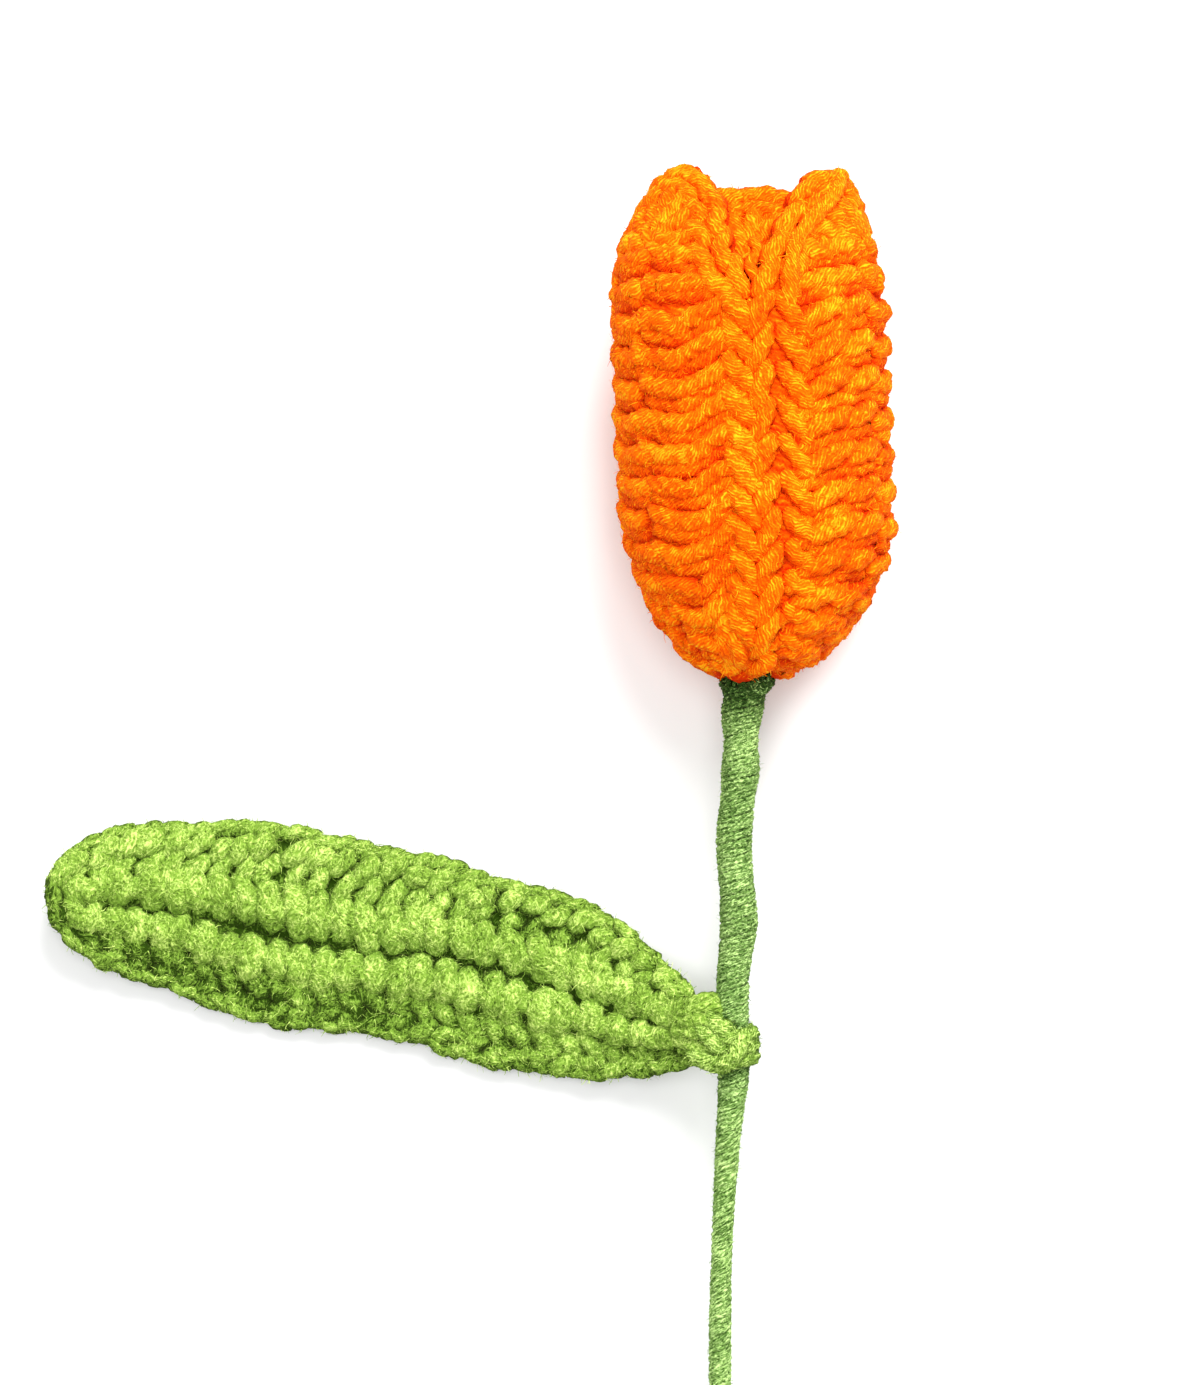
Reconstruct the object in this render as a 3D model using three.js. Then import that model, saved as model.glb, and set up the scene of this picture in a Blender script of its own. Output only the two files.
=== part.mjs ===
// A crocheted tulip that lies on its back: three orange petals sewn edge to edge, a wire stem wound
// with green yarn, and one crocheted leaf bound to the stem. Millimetres. +Z is up from the surface
// that it lies on, +Y runs along the stem towards the bloom's tip, and the leaf reaches towards -X.
// The pieces are placed with y = 0 at the bloom's base; the group then moves them so that the origin
// is at the middle of the flower's footprint, on the surface.

import * as THREE from "three";

// Crocheted fabric
const PETAL_HALF_THICKNESS = 1.5;
const LEAF_HALF_THICKNESS = 1.7;
const RIM_SHARE = 0.35; // thickness left at a piece's side edges
const END_SHARE = 0.55; // thickness left at its two ends
const END_TAPER = 0.08; // share of the length over which the ends thin down

// Bloom
const BLOOM_HEIGHT = 62;
const SEAM_GAP = 1.7; // between two petals' edges, where the sewing yarn lies
const BLOOM_FLATNESS = 0.78; // depth over width, because it lies on a table
const ROUND_BASE_HEIGHT = 14; // up to here the bloom grows from round to flat
const SHOULDER = 45; // height where the petals part
const TIP_CLOSING = 0.45; // how far the three tips lean together, front to back
const BACK_TIP_DENT = 0.95; // how far the back petal's tip is pressed in towards the middle
const CLOSING_START = 40;
// Height above the base, and half width of the petals' middle surface there
const BLOOM_PROFILE = [
  [1.2, 3.7],
  [3.2, 7.1],
  [6.6, 10.2],
  [11.6, 13.1],
  [17, 14.8],
  [22, 15.2],
  [45, 15.2],
  [51, 14.2],
  [56.2, 12.4],
  [59.6, 10.7],
  [61.6, 9.4],
];
// Height above the shoulder over the tip's height, and the share of a petal's full width left there
const TIP_OUTLINE = [
  [0, 1],
  [0.3, 0.92],
  [0.64, 0.8],
  [0.88, 0.6],
  [1, 0.25],
];
// The turn of each petal's middle from the front, its height, and how far its tip opens outwards
const PETALS = {
  petal_left: { turn: -60, height: 61.6, opening: 0.02 },
  petal_right: { turn: 60, height: 61.2, opening: 0.16 },
  petal_back: { turn: 180, height: 59, opening: 0 },
};

// Seams
const SEAM_YARN_RADIUS = 0.5;
const SEAMS = { seam_front: 0, seam_left: -120, seam_right: 120 };
const SEAM_START = 4;
const SEAM_END = 43;

// Stem
const WIRE_RADIUS = 0.8;
const WIRE_TOP = 14; // inside the bloom
const STEM_LENGTH = 166; // below the bloom's base
const WIRE_SHOWING = 0.5; // bare end of the wire below the yarn
const WRAP_CLEARANCE = 0.25;
// Distance along the stem, and the stem's sideways wander there
const STEM_AXIS = [
  [-166, -2.4],
  [-125, -3.4],
  [-84, -3.6],
  [-70, -3.4],
  [-57, -2.7],
  [-48, -2.3],
  [-37, -2],
  [-29.5, -1.4],
  [-20, -2],
  [-11, -1.2],
  [-5, -1.1],
  [0, -0.5],
  [2, 0.3],
  [13, 1],
  [24, 0.6],
  [44, -0.4],
  [51, -0.7],
  [57, 0],
];
const STEM_END_HEIGHT = 1.36; // of its middle above the surface
const BLOOM_AXIS_HEIGHT = 12.05; // at the bloom's base

// Yarn round the stem: distance along it, and the wound radius there
const UPPER_WRAP = [
  [-42.1, 2],
  [-37, 2],
  [-33, 2.1],
  [-30, 2.4],
  [-25, 2.1],
  [-18.5, 2.3],
  [-14.8, 2.2],
  [-11.2, 2.45],
  [-7.5, 2.2],
  [-3.9, 2.7],
  [-2, 2.6],
  [-0.6, 3.4],
  [-0.1, 2.2],
  [10, 1.9],
];
const LOWER_WRAP = [
  [WIRE_SHOWING - STEM_LENGTH, 1.36],
  [-120, 1.36],
  [-79, 1.45],
  [-72, 1.36],
  [-64, 1.42],
  [-57, 1.6],
  [-51.5, 1.85],
  [-49.7, 2.1],
  [-47, 2.4],
];

// Leaf
const TIE_PLACE = -44.55;
const TIE_HALF_HEIGHT = 2.1;
const TIE_INNER_RADIUS = 1.1;
const TIE_OUTER_RADIUS = 3.3;
const LEAF_CUPPING = 0.8; // drop of the leaf's edges below its middle
// Place across, place along the stem, half width and height of the leaf's middle surface
const LEAF_STATIONS = [
  [-6, -43.4, 3.4, 8.8],
  [-8, -42.3, 5.2, 7.8],
  [-12.8, -40.6, 8.2, 5.6],
  [-17.7, -39, 10.2, 4],
  [-22.6, -37.9, 11.2, 3],
  [-32.5, -36, 12.1, 2.3],
  [-42.3, -32.9, 11.9, 2.09],
  [-52.2, -31.2, 12.3, 2.09],
  [-62, -29.7, 12.4, 2.15],
  [-71.9, -27.7, 10.5, 2.7],
  [-79.1, -27.2, 8.9, 4],
  [-83.8, -26.8, 5.8, 5.7],
  [-86, -26.3, 2.4, 6.8],
];

const PETAL_COLOUR = 0xf8760a;
const SEAM_COLOUR = 0xf06a06;
const LEAF_COLOUR = 0x8fb14a;
const TIE_COLOUR = 0xa5c85b;
const STEM_COLOUR = 0x82a656;
const WIRE_COLOUR = 0x9a9c9b;

const flower = new THREE.Group();

function addPiece(name, geometry, colour, roughness = 0.95, metalness = 0) {
  geometry.computeVertexNormals();
  const material = new THREE.MeshStandardMaterial({ color: colour, roughness, metalness });
  const piece = new THREE.Mesh(geometry, material);
  piece.name = name;
  flower.add(piece);
}

// The value at t of a smooth curve through [place, value] pairs; flat beyond both ends
function smoothValue(pairs, t, column = 1) {
  const last = pairs.length - 1;
  const slopeAt = (k) => {
    const before = pairs[Math.max(k - 1, 0)];
    const after = pairs[Math.min(k + 1, last)];
    return (after[column] - before[column]) / (after[0] - before[0]);
  };
  const place = THREE.MathUtils.clamp(t, pairs[0][0], pairs[last][0]);
  const next = Math.max(1, pairs.findIndex((pair) => pair[0] >= place));
  const from = pairs[next - 1];
  const to = pairs[next];
  const span = to[0] - from[0];
  const u = (place - from[0]) / span;
  const startShare = 2 * u ** 3 - 3 * u ** 2 + 1;
  const startPull = (u ** 3 - 2 * u ** 2 + u) * span * slopeAt(next - 1);
  const endPull = (u ** 3 - u ** 2) * span * slopeAt(next);
  return startShare * from[column] + startPull + (1 - startShare) * to[column] + endPull;
}

// The middle line of stem and bloom at a distance y along it
function axisAt(y) {
  const fall = (BLOOM_AXIS_HEIGHT - STEM_END_HEIGHT) / STEM_LENGTH;
  return new THREE.Vector3(smoothValue(STEM_AXIS, y), y, BLOOM_AXIS_HEIGHT + fall * y);
}

// A closed shell round a middle surface: surfaceAt(u, v) is a point of it, u and v from 0 to 1,
// and halfThicknessAt(u, v) is how far the shell reaches to each side
function shell(surfaceAt, halfThicknessAt, lengthSteps, widthSteps) {
  const sides = [[], []];
  for (let i = 0; i <= lengthSteps; i += 1) {
    for (let j = 0; j <= widthSteps; j += 1) {
      const u = i / lengthSteps;
      const v = j / widthSteps;
      const step = 0.002;
      const point = surfaceAt(u, v);
      const alongLength = surfaceAt(u + step, v).sub(surfaceAt(u - step, v));
      const alongWidth = surfaceAt(u, v + step).sub(surfaceAt(u, v - step));
      const offset = alongLength.cross(alongWidth).normalize();
      offset.multiplyScalar(halfThicknessAt(u, v));
      sides[0].push(...point.clone().add(offset).toArray());
      sides[1].push(...point.clone().sub(offset).toArray());
    }
  }
  const row = widthSteps + 1;
  const count = (lengthSteps + 1) * row;
  const faces = [];
  for (let i = 0; i < lengthSteps; i += 1) {
    for (let j = 0; j < widthSteps; j += 1) {
      const a = i * row + j;
      const b = a + row;
      faces.push(a, b, b + 1, a, b + 1, a + 1);
      faces.push(count + a, count + b + 1, count + b, count + a, count + a + 1, count + b + 1);
    }
  }
  const rim = [];
  for (let i = 0; i < lengthSteps; i += 1) {
    rim.push(i * row);
  }
  for (let j = 0; j < widthSteps; j += 1) {
    rim.push(lengthSteps * row + j);
  }
  for (let i = lengthSteps; i > 0; i -= 1) {
    rim.push(i * row + widthSteps);
  }
  for (let j = widthSteps; j > 0; j -= 1) {
    rim.push(j);
  }
  rim.forEach((p, k) => {
    const q = rim[(k + 1) % rim.length];
    faces.push(q, p, count + p, q, count + p, count + q);
  });
  const geometry = new THREE.BufferGeometry();
  geometry.setAttribute("position", new THREE.Float32BufferAttribute(sides.flat(), 3));
  geometry.setIndex(faces);
  return geometry;
}

// The share of a crocheted piece's full thickness at (u, v): full in the middle, thin at its rim
function fullness(u, v) {
  const across = 2 * v - 1;
  const sides = RIM_SHARE + (1 - RIM_SHARE) * Math.sqrt(1 - across ** 6);
  const fromEnd = THREE.MathUtils.smoothstep(Math.min(u, 1 - u), 0, END_TAPER);
  return sides * (END_SHARE + (1 - END_SHARE) * fromEnd);
}

// A point of the bloom's middle surface: turn is measured from the front, in radians, and opening
// moves the tip outwards by a share of its distance from the axis
function bloomPoint(turn, height, opening = 0) {
  const halfWidth = smoothValue(BLOOM_PROFILE, height);
  const belly = THREE.MathUtils.smoothstep(height, 0, ROUND_BASE_HEIGHT);
  const flatness = 1 - (1 - BLOOM_FLATNESS) * belly;
  const towardsTip = THREE.MathUtils.smoothstep(height, CLOSING_START, BLOOM_HEIGHT);
  const halfDepth = halfWidth * flatness * (1 - TIP_CLOSING * towardsTip);
  const spread = 1 + opening * THREE.MathUtils.smoothstep(height, SHOULDER, BLOOM_HEIGHT);
  const point = axisAt(height);
  const backShare = THREE.MathUtils.smoothstep(-Math.cos(turn), 0.5, 1);
  point.x += halfWidth * spread * Math.sin(turn);
  point.z += halfDepth * (Math.cos(turn) + BACK_TIP_DENT * backShare * towardsTip);
  return point;
}

function petal({ turn, height, opening }) {
  const base = BLOOM_PROFILE[0][0];
  const middle = THREE.MathUtils.degToRad(turn);
  const surfaceAt = (u, v) => {
    const h = base + (height - base) * u;
    const tipShare = smoothValue(TIP_OUTLINE, (h - SHOULDER) / (height - SHOULDER));
    const seamTurn = SEAM_GAP / 2 / (smoothValue(BLOOM_PROFILE, h) * BLOOM_FLATNESS);
    const halfTurn = (Math.PI / 3 - seamTurn) * tipShare;
    return bloomPoint(middle + halfTurn * (1 - 2 * v), h, opening);
  };
  const halfThicknessAt = (u, v) => PETAL_HALF_THICKNESS * fullness(u, v);
  return shell(surfaceAt, halfThicknessAt, 26, 10);
}

// The yarn that joins two petals, along the gap between their edges
function seam(turn) {
  const points = [];
  const steps = 8;
  for (let i = 0; i <= steps; i += 1) {
    const height = SEAM_START + ((SEAM_END - SEAM_START) * i) / steps;
    points.push(bloomPoint(THREE.MathUtils.degToRad(turn), height));
  }
  const section = new THREE.Shape().absarc(0, 0, SEAM_YARN_RADIUS, 0, 2 * Math.PI);
  return new THREE.ExtrudeGeometry(section, {
    steps: 20,
    curveSegments: 4,
    bevelEnabled: false,
    extrudePath: new THREE.CatmullRomCurve3(points),
  });
}

// A turned piece round the stem's axis, bent to the axis afterwards
function turned(profile, segments) {
  const geometry = new THREE.LatheGeometry(profile, segments);
  const position = geometry.attributes.position;
  for (let i = 0; i < position.count; i += 1) {
    const axis = axisAt(position.getY(i));
    position.setX(i, position.getX(i) + axis.x);
    position.setZ(i, position.getZ(i) + axis.z);
  }
  return geometry;
}

function stemWire() {
  const low = -STEM_LENGTH;
  const steps = 34;
  const profile = [new THREE.Vector2(0, low)];
  for (let i = 0; i <= steps; i += 1) {
    profile.push(new THREE.Vector2(WIRE_RADIUS, low + ((WIRE_TOP - low) * i) / steps));
  }
  profile.push(new THREE.Vector2(0, WIRE_TOP));
  return turned(profile, 10);
}

// A sleeve of wound yarn with the wire's channel through it
function wrap(radii, steps) {
  const low = radii[0][0];
  const high = radii[radii.length - 1][0];
  const inner = WIRE_RADIUS + WRAP_CLEARANCE;
  const heights = [];
  for (let i = 0; i <= steps; i += 1) {
    heights.push(low + ((high - low) * i) / steps);
  }
  const outside = heights.map((y) => new THREE.Vector2(smoothValue(radii, y), y));
  const inside = heights.map((y) => new THREE.Vector2(inner, y)).reverse();
  return turned([...outside, ...inside, outside[0].clone()], 14);
}

function leafTie() {
  const middleRadius = (TIE_OUTER_RADIUS + TIE_INNER_RADIUS) / 2;
  const halfWidth = (TIE_OUTER_RADIUS - TIE_INNER_RADIUS) / 2;
  const corners = 10;
  const profile = [];
  for (let i = 0; i <= corners; i += 1) {
    const angle = (2 * Math.PI * (i % corners)) / corners;
    const radius = middleRadius + halfWidth * Math.cos(angle);
    profile.push(new THREE.Vector2(radius, TIE_PLACE + TIE_HALF_HEIGHT * Math.sin(angle)));
  }
  return turned(profile, 18);
}

function leaf() {
  const last = LEAF_STATIONS.length - 1;
  const numbered = LEAF_STATIONS.map((station, k) => [k / last, ...station]);
  const surfaceAt = (u, v) => {
    const [x, y, halfWidth, z] = [1, 2, 3, 4].map((column) => smoothValue(numbered, u, column));
    const across = 1 - 2 * v;
    return new THREE.Vector3(x, y + across * halfWidth, z - LEAF_CUPPING * across ** 2);
  };
  const halfThicknessAt = (u, v) => LEAF_HALF_THICKNESS * fullness(u, v);
  return shell(surfaceAt, halfThicknessAt, 30, 10);
}

for (const [name, shape] of Object.entries(PETALS)) {
  addPiece(name, petal(shape), PETAL_COLOUR);
}
for (const [name, turn] of Object.entries(SEAMS)) {
  addPiece(name, seam(turn), SEAM_COLOUR);
}
addPiece("stem_wire", stemWire(), WIRE_COLOUR, 0.45, 0.9);
addPiece("stem_wrap_upper", wrap(UPPER_WRAP, 30), STEM_COLOUR);
addPiece("leaf_tie", leafTie(), TIE_COLOUR);
addPiece("stem_wrap_lower", wrap(LOWER_WRAP, 26), STEM_COLOUR);
addPiece("leaf", leaf(), LEAF_COLOUR);

const box = new THREE.Box3().setFromObject(flower);
const middle = box.getCenter(new THREE.Vector3());
flower.position.set(-middle.x, -middle.y, -box.min.z);

export default flower;
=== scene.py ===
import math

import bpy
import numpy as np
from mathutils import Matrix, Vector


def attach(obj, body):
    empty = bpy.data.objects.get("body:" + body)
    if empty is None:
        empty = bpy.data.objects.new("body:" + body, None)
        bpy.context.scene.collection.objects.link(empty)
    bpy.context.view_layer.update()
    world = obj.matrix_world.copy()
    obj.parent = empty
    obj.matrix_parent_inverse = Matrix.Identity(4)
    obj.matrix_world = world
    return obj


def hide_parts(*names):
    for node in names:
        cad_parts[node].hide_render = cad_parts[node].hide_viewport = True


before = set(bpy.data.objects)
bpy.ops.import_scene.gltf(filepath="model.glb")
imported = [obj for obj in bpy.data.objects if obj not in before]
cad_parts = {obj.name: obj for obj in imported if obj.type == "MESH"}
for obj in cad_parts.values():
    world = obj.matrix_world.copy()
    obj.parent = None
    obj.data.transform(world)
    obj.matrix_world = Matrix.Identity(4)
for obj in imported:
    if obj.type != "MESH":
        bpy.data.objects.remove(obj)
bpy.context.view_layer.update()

# %% [markdown]
# A tulip crocheted by hand: a bloom of three petals in thick orange yarn, a wire stem wound with
# thin green yarn, and one leaf in soft green yarn, tied to the stem. The CAD model gives every
# piece its place and size as a plain solid. Here each of those solids is worked in yarn, stitch by
# stitch, because the stitches are the whole look of such a flower.

SEED = 8
chance = np.random.default_rng(SEED)

# %% [markdown]
# The flower is described in millimetres along its own stem: y is 0 at the bloom's base and grows
# towards the tips, and z is the height above the table. The outlines keep close to the CAD model's
# plain solids. Only the bloom's base is a little slimmer and its tips a little lower, as the
# photograph shows them. An outline could be a formula, but a short table of pairs is easier to
# measure and to change.

# %% The bloom's dimensions
BLOOM_HEIGHT = 62
# Above its round base the bloom's depth is this share of its width.
BLOOM_FLATNESS = 0.78
ROUND_BASE_HEIGHT = 14
# Its tips get flatter from the closing's start, and slimmer from the shoulder.
CLOSING_START, TIP_CLOSING = 40, 0.45
SHOULDER, TIP_SLIMMING = 45, 0.16
# The back petal is folded in behind the front tips.
DENT_START, DENT_END = 30, 49
BACK_TIP_DENT = 1.45
# Pairs of a height and the bloom's half width there.
BLOOM_PROFILE = np.array([
    (1.4, 3.5), (3.3, 6.8), (6.6, 9.9), (11.6, 12.9), (17, 14.7), (22, 15.05),
    (45, 15.05), (51, 14.1), (56.2, 12.4), (59.6, 10.7), (61.6, 9.4),
])
# Pairs of a share of the way from shoulder to tip and the share of the petal's breadth there.
TIP_OUTLINE = np.array([(0, 1), (0.3, 0.92), (0.64, 0.8), (0.88, 0.6), (1, 0.25)])
# turn says in degrees which way a petal faces, and 0 is up. opening is how far its tip spreads.
PETALS = {
    "petal_left": dict(turn=-60, height=61.6, opening=0.1),
    "petal_right": dict(turn=60, height=61.2, opening=0.1),
    "petal_back": dict(turn=180, height=59, opening=0),
}

# %% The stem's dimensions
STEM_LENGTH = 166
WIRE_TOP = 14
STEM_END_HEIGHT = 1.36
BLOOM_AXIS_HEIGHT = 12.05
# Pairs of a place along the flower and how far its middle line swings aside there.
STEM_AXIS = np.array([
    (-166, -2.4), (-125, -3.4), (-84, -3.6), (-70, -3.4), (-57, -2.7), (-48, -2), (-37, -2.1),
    (-29.5, -1.4), (-20, -2), (-11, -1.2), (-5, -1.1), (0, -0.35), (2, 0.2), (13, 1.05), (24, 0.55),
    (44, -0.2), (51, -0.4), (57, 0),
])
print("tables:", len(BLOOM_PROFILE), "points of the bloom,", len(STEM_AXIS), "of the stem")

# %% [markdown]
# Between the pairs of a table the value has to change smoothly, because straight pieces would show
# as bends in the flower. A third-degree curve from pair to pair does it, with a slope at each pair
# that follows from its neighbours. A smooth step is the same idea for one change from 0 to 1.

# %% Smooth curves through a table
def smooth_value(pairs, t):
    """The value at t of a smooth curve through (place, value) pairs, flat beyond both ends."""
    places, values = pairs[:, 0], pairs[:, 1]
    t = np.clip(t, places[0], places[-1])
    after = np.clip(np.searchsorted(places, t), 1, len(places) - 1)
    before = after - 1
    slopes = np.empty(len(places))
    slopes[1:-1] = (values[2:] - values[:-2]) / (places[2:] - places[:-2])
    slopes[0] = (values[1] - values[0]) / (places[1] - places[0])
    slopes[-1] = (values[-1] - values[-2]) / (places[-1] - places[-2])
    span = places[after] - places[before]
    u = (t - places[before]) / span
    start = 2 * u**3 - 3 * u**2 + 1
    pull = (u**3 - 2 * u**2 + u) * span * slopes[before] + (u**3 - u**2) * span * slopes[after]
    return start * values[before] + (1 - start) * values[after] + pull


def smooth_step(value, low, high):
    """0 below low, 1 above high, and an even rise between them."""
    u = np.clip((value - low) / (high - low), 0, 1)
    return u * u * (3 - 2 * u)


def axis_at(y):
    """Points of the middle line of stem and bloom at distances y along it."""
    y = np.asarray(y, float)
    fall = (BLOOM_AXIS_HEIGHT - STEM_END_HEIGHT) / STEM_LENGTH
    return np.stack([smooth_value(STEM_AXIS, y), y, BLOOM_AXIS_HEIGHT + fall * y], axis=-1)


# %% [markdown]
# The CAD frame has its zero somewhere else. The wire's upper end is a point that both know: the
# shift from the one to the other is added to every piece at the end.

# %% From the flower's own zero to the CAD frame
wire_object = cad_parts["stem_wire"]
wire = np.array([corner.co for corner in wire_object.data.vertices]) * 1000
wire_top = wire[wire[:, 1] > wire[:, 1].max() - 0.01].mean(axis=0)
TO_ROW = wire_top - axis_at(WIRE_TOP)
print("the bloom's base point lies in the CAD frame at", np.round(TO_ROW, 2))

# %% [markdown]
# The camera comes before any yarn. It looks straight down on the flower as it lies, from 60 cm
# above with a long lens, so that what is near the table is drawn nearly as large as what is near
# the lens. The lens follows from the photograph's scale at the height where most yarn is seen.

# %% The camera
PHOTO_HEIGHT = 1385
PIXELS_PER_MM = 8.25
CAMERA_HEIGHT = 600
SCALE_HEIGHT = 13
PHOTO_MIDDLE = (-18.3, -1.76)
SENSOR = 36
NEAREST, FARTHEST = 0.05, 10

camera_data = bpy.data.cameras.new("photo_camera")
camera_data.sensor_width = SENSOR
pixels_of_lens = PIXELS_PER_MM * (CAMERA_HEIGHT - SCALE_HEIGHT)
camera_data.lens = SENSOR * pixels_of_lens / PHOTO_HEIGHT
camera_data.clip_start, camera_data.clip_end = NEAREST, FARTHEST
camera = bpy.data.objects.new("photo_camera", camera_data)
bpy.context.scene.collection.objects.link(camera)
camera.location = (np.array([*PHOTO_MIDDLE, CAMERA_HEIGHT]) + TO_ROW) / 1000
bpy.context.scene.camera = camera
print("lens", round(camera_data.lens, 1), "mm, camera at", [round(v, 3) for v in camera.location])

# %% [markdown]
# A strand follows a path of a few given points. A smooth curve runs through all of them and is cut
# into even steps, because uneven steps would stretch the twist. Each step also needs two
# directions to its side. They turn as little as possible, so that only the twist is seen.

# %% Smooth lines through points
def smooth_path(points, step):
    """A smooth line through the points, cut into steps of even length."""
    points = np.asarray(points, float)
    ends = np.vstack([2 * points[0] - points[1], points, 2 * points[-1] - points[-2]])
    u = np.linspace(0, 1, 9)[:-1, None]
    pieces = []
    for a, b, c, d in zip(ends[:-3], ends[1:-2], ends[2:-1], ends[3:]):
        pieces.append(0.5 * (2 * b + (c - a) * u + (2 * a - 5 * b + 4 * c - d) * u**2
                             + (3 * b - a - 3 * c + d) * u**3))
    dense = np.vstack([*pieces, points[-1:]])
    return even_steps(dense, step)


def even_steps(line, step):
    """The same line with points an even distance apart, about step."""
    lengths = np.concatenate([[0], np.cumsum(np.linalg.norm(np.diff(line, axis=0), axis=1))])
    count = max(int(round(lengths[-1] / step)), 2)
    places = np.linspace(0, lengths[-1], count + 1)
    return np.stack([np.interp(places, lengths, column) for column in line.T], axis=1)


def frames_along(line):
    """Tangent and two side directions at each point, turning as little as possible."""
    tangents = np.gradient(line, axis=0)
    tangents /= np.linalg.norm(tangents, axis=1, keepdims=True)
    sides = np.empty_like(line)
    first = np.cross(tangents[0], (0, 0, 1))
    if np.linalg.norm(first) < 0.1:
        first = np.cross(tangents[0], (1, 0, 0))
    sides[0] = first / np.linalg.norm(first)
    for i in range(1, len(line)):
        side = sides[i - 1] - np.dot(sides[i - 1], tangents[i]) * tangents[i]
        sides[i] = side / np.linalg.norm(side)
    return tangents, sides, np.cross(tangents, sides)


# %% [markdown]
# Everything here is made of yarn, so one tool does most of the work: it sweeps a twisted strand
# along a path. Plied yarn isn't round. It is a few thinner threads laid in a spiral, so the
# section has a lobe for each thread, and the mesh turns with the twist to keep the lobes crisp.

# %% Strands of yarn
PLIES = 4
POINTS_A_PLY = 4
PLY_GROOVE = 0.1
RING_STEP = 0.42


class Yarn:
    """A pile of strands that becomes one mesh. Each corner keeps its place along and around its
    strand, for the fibres' direction, the tone of its strand, and how high it stands, which sets
    its painted shade."""

    def __init__(self):
        self.corners, self.faces = [], []
        self.along, self.around = [], []
        self.tones, self.depths = [], []
        self.count = 0

    def strand(self, line, radius, twist=0.7, plies=PLIES, ply_points=POINTS_A_PLY,
               groove=PLY_GROOVE, tone=None, taper=0.8, depth=0.0, out=(0, 0, 1), rough=0.04,
               sunk=0.0):
        """Sweeps a strand along line. radius is one number or one for each point of line. depth
        is the line's height over the middle of the fabric, and out the fabric's outward side.
        sunk is painted shade: it darkens the strand's colour as if it lay so much deeper."""
        line = np.asarray(line, float)
        rings, sides_count = len(line), plies * ply_points
        steps = np.linalg.norm(np.diff(line, axis=0), axis=1)
        place = np.concatenate([[0], np.cumsum(steps)])
        _, side, up = frames_along(line)

        # Both ends close in a round cap of the length that taper gives.
        end = np.minimum(place, place[-1] - place)
        closing = np.sqrt(np.clip(1 - (1 - np.clip(end / taper, 0, 1)) ** 2, 0.02, 1))
        widths = np.broadcast_to(radius, rings) * closing

        # The section has a lobe for each ply, turns with the twist and is a little uneven.
        spot = np.arange(sides_count)
        lobe = np.abs(np.cos(np.pi * spot / ply_points)) ** 0.6
        shape = 1 - groove * (1 - lobe)
        angle = 2 * np.pi * spot[None, :] / sides_count + twist * place[:, None]
        uneven = chance.normal(0, rough, (rings, sides_count))
        uneven[1:-1] = (uneven[:-2] + uneven[1:-1] + uneven[2:]) / 1.7
        reach = widths[:, None] * shape[None, :] * (1 + uneven)
        ring = (line[:, None, :] + (reach * np.cos(angle))[..., None] * side[:, None, :]
                + (reach * np.sin(angle))[..., None] * up[:, None, :])
        tone = chance.uniform(0, 1) if tone is None else tone
        self.corners += [ring.reshape(-1, 3), line[:1], line[-1:]]
        self.along += [np.repeat(place, sides_count), place[:1], place[-1:]]
        self.around += [angle.ravel() / (2 * np.pi), [0], [0]]
        self.tones.append(np.full(rings * sides_count + 2, tone))
        depth, out = np.broadcast_to(depth, rings), np.broadcast_to(out, (rings, 3))
        height = depth[:, None] + np.einsum("ijk,ik->ij", ring - line[:, None, :], out)
        self.depths += [np.abs(height).ravel() - sunk, np.abs(depth[[0, -1]]) - sunk]

        # Quads join ring to ring, and triangles join the end rings to the end points.
        base = self.count
        row, spots = np.meshgrid(np.arange(rings - 1), spot, indexing="ij")
        following = (spot + 1) % sides_count
        a = base + row * sides_count + spots
        b = base + row * sides_count + following[spots]
        quads = np.stack([a, b, b + sides_count, a + sides_count], axis=-1).reshape(-1, 4)
        first, last = base + rings * sides_count, base + rings * sides_count + 1
        tail = base + (rings - 1) * sides_count
        start_cap = np.stack([base + following, base + spot, np.full_like(spot, first)], axis=-1)
        end_cap = np.stack([tail + spot, tail + following, np.full_like(spot, last)], axis=-1)
        self.faces.append((quads, np.vstack([start_cap, end_cap])))
        self.count += rings * sides_count + 2


# %% [markdown]
# Between stiff stitches one could look through into the hollow bloom. Real yarn is soft and fills
# such gaps by itself. Here a thin closed layer behind the stitches does it, made as one grid of
# corners for each side and a rim that joins them.

# %% A thin layer behind the stitches
def lay_sheet(yarn, grid, tone=0.3, depth=1.0):
    """A closed thin layer under the stitches, from a grid of points for each of its sides."""
    rows, columns = grid[0].shape[:2]
    size = rows * columns
    base = yarn.count
    yarn.corners += [grid[0].reshape(-1, 3), grid[1].reshape(-1, 3)]
    yarn.along.append(np.tile(np.repeat(np.arange(rows), columns), 2))
    yarn.around.append(np.tile(np.arange(columns) / columns, 2 * rows))
    yarn.tones.append(np.full(2 * size, tone))
    yarn.depths.append(np.full(2 * size, depth))
    i, j = np.meshgrid(np.arange(rows - 1), np.arange(columns - 1), indexing="ij")
    a = (base + i * columns + j).ravel()
    b, c, d = a + columns, a + columns + 1, a + 1
    upper = np.stack([a, b, c, d], axis=-1)
    lower = np.stack([a + size, d + size, c + size, b + size], axis=-1)
    loop = np.concatenate([
        np.arange(rows - 1) * columns,
        (rows - 1) * columns + np.arange(columns - 1),
        (rows - 1 - np.arange(rows - 1)) * columns + columns - 1,
        columns - 1 - np.arange(columns - 1),
    ]) + base
    following = np.roll(loop, -1)
    rim = np.stack([following, loop, loop + size, following + size], axis=-1)
    yarn.faces.append((np.vstack([upper, lower, rim]), np.zeros((0, 3), int)))
    yarn.count += 2 * size


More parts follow.
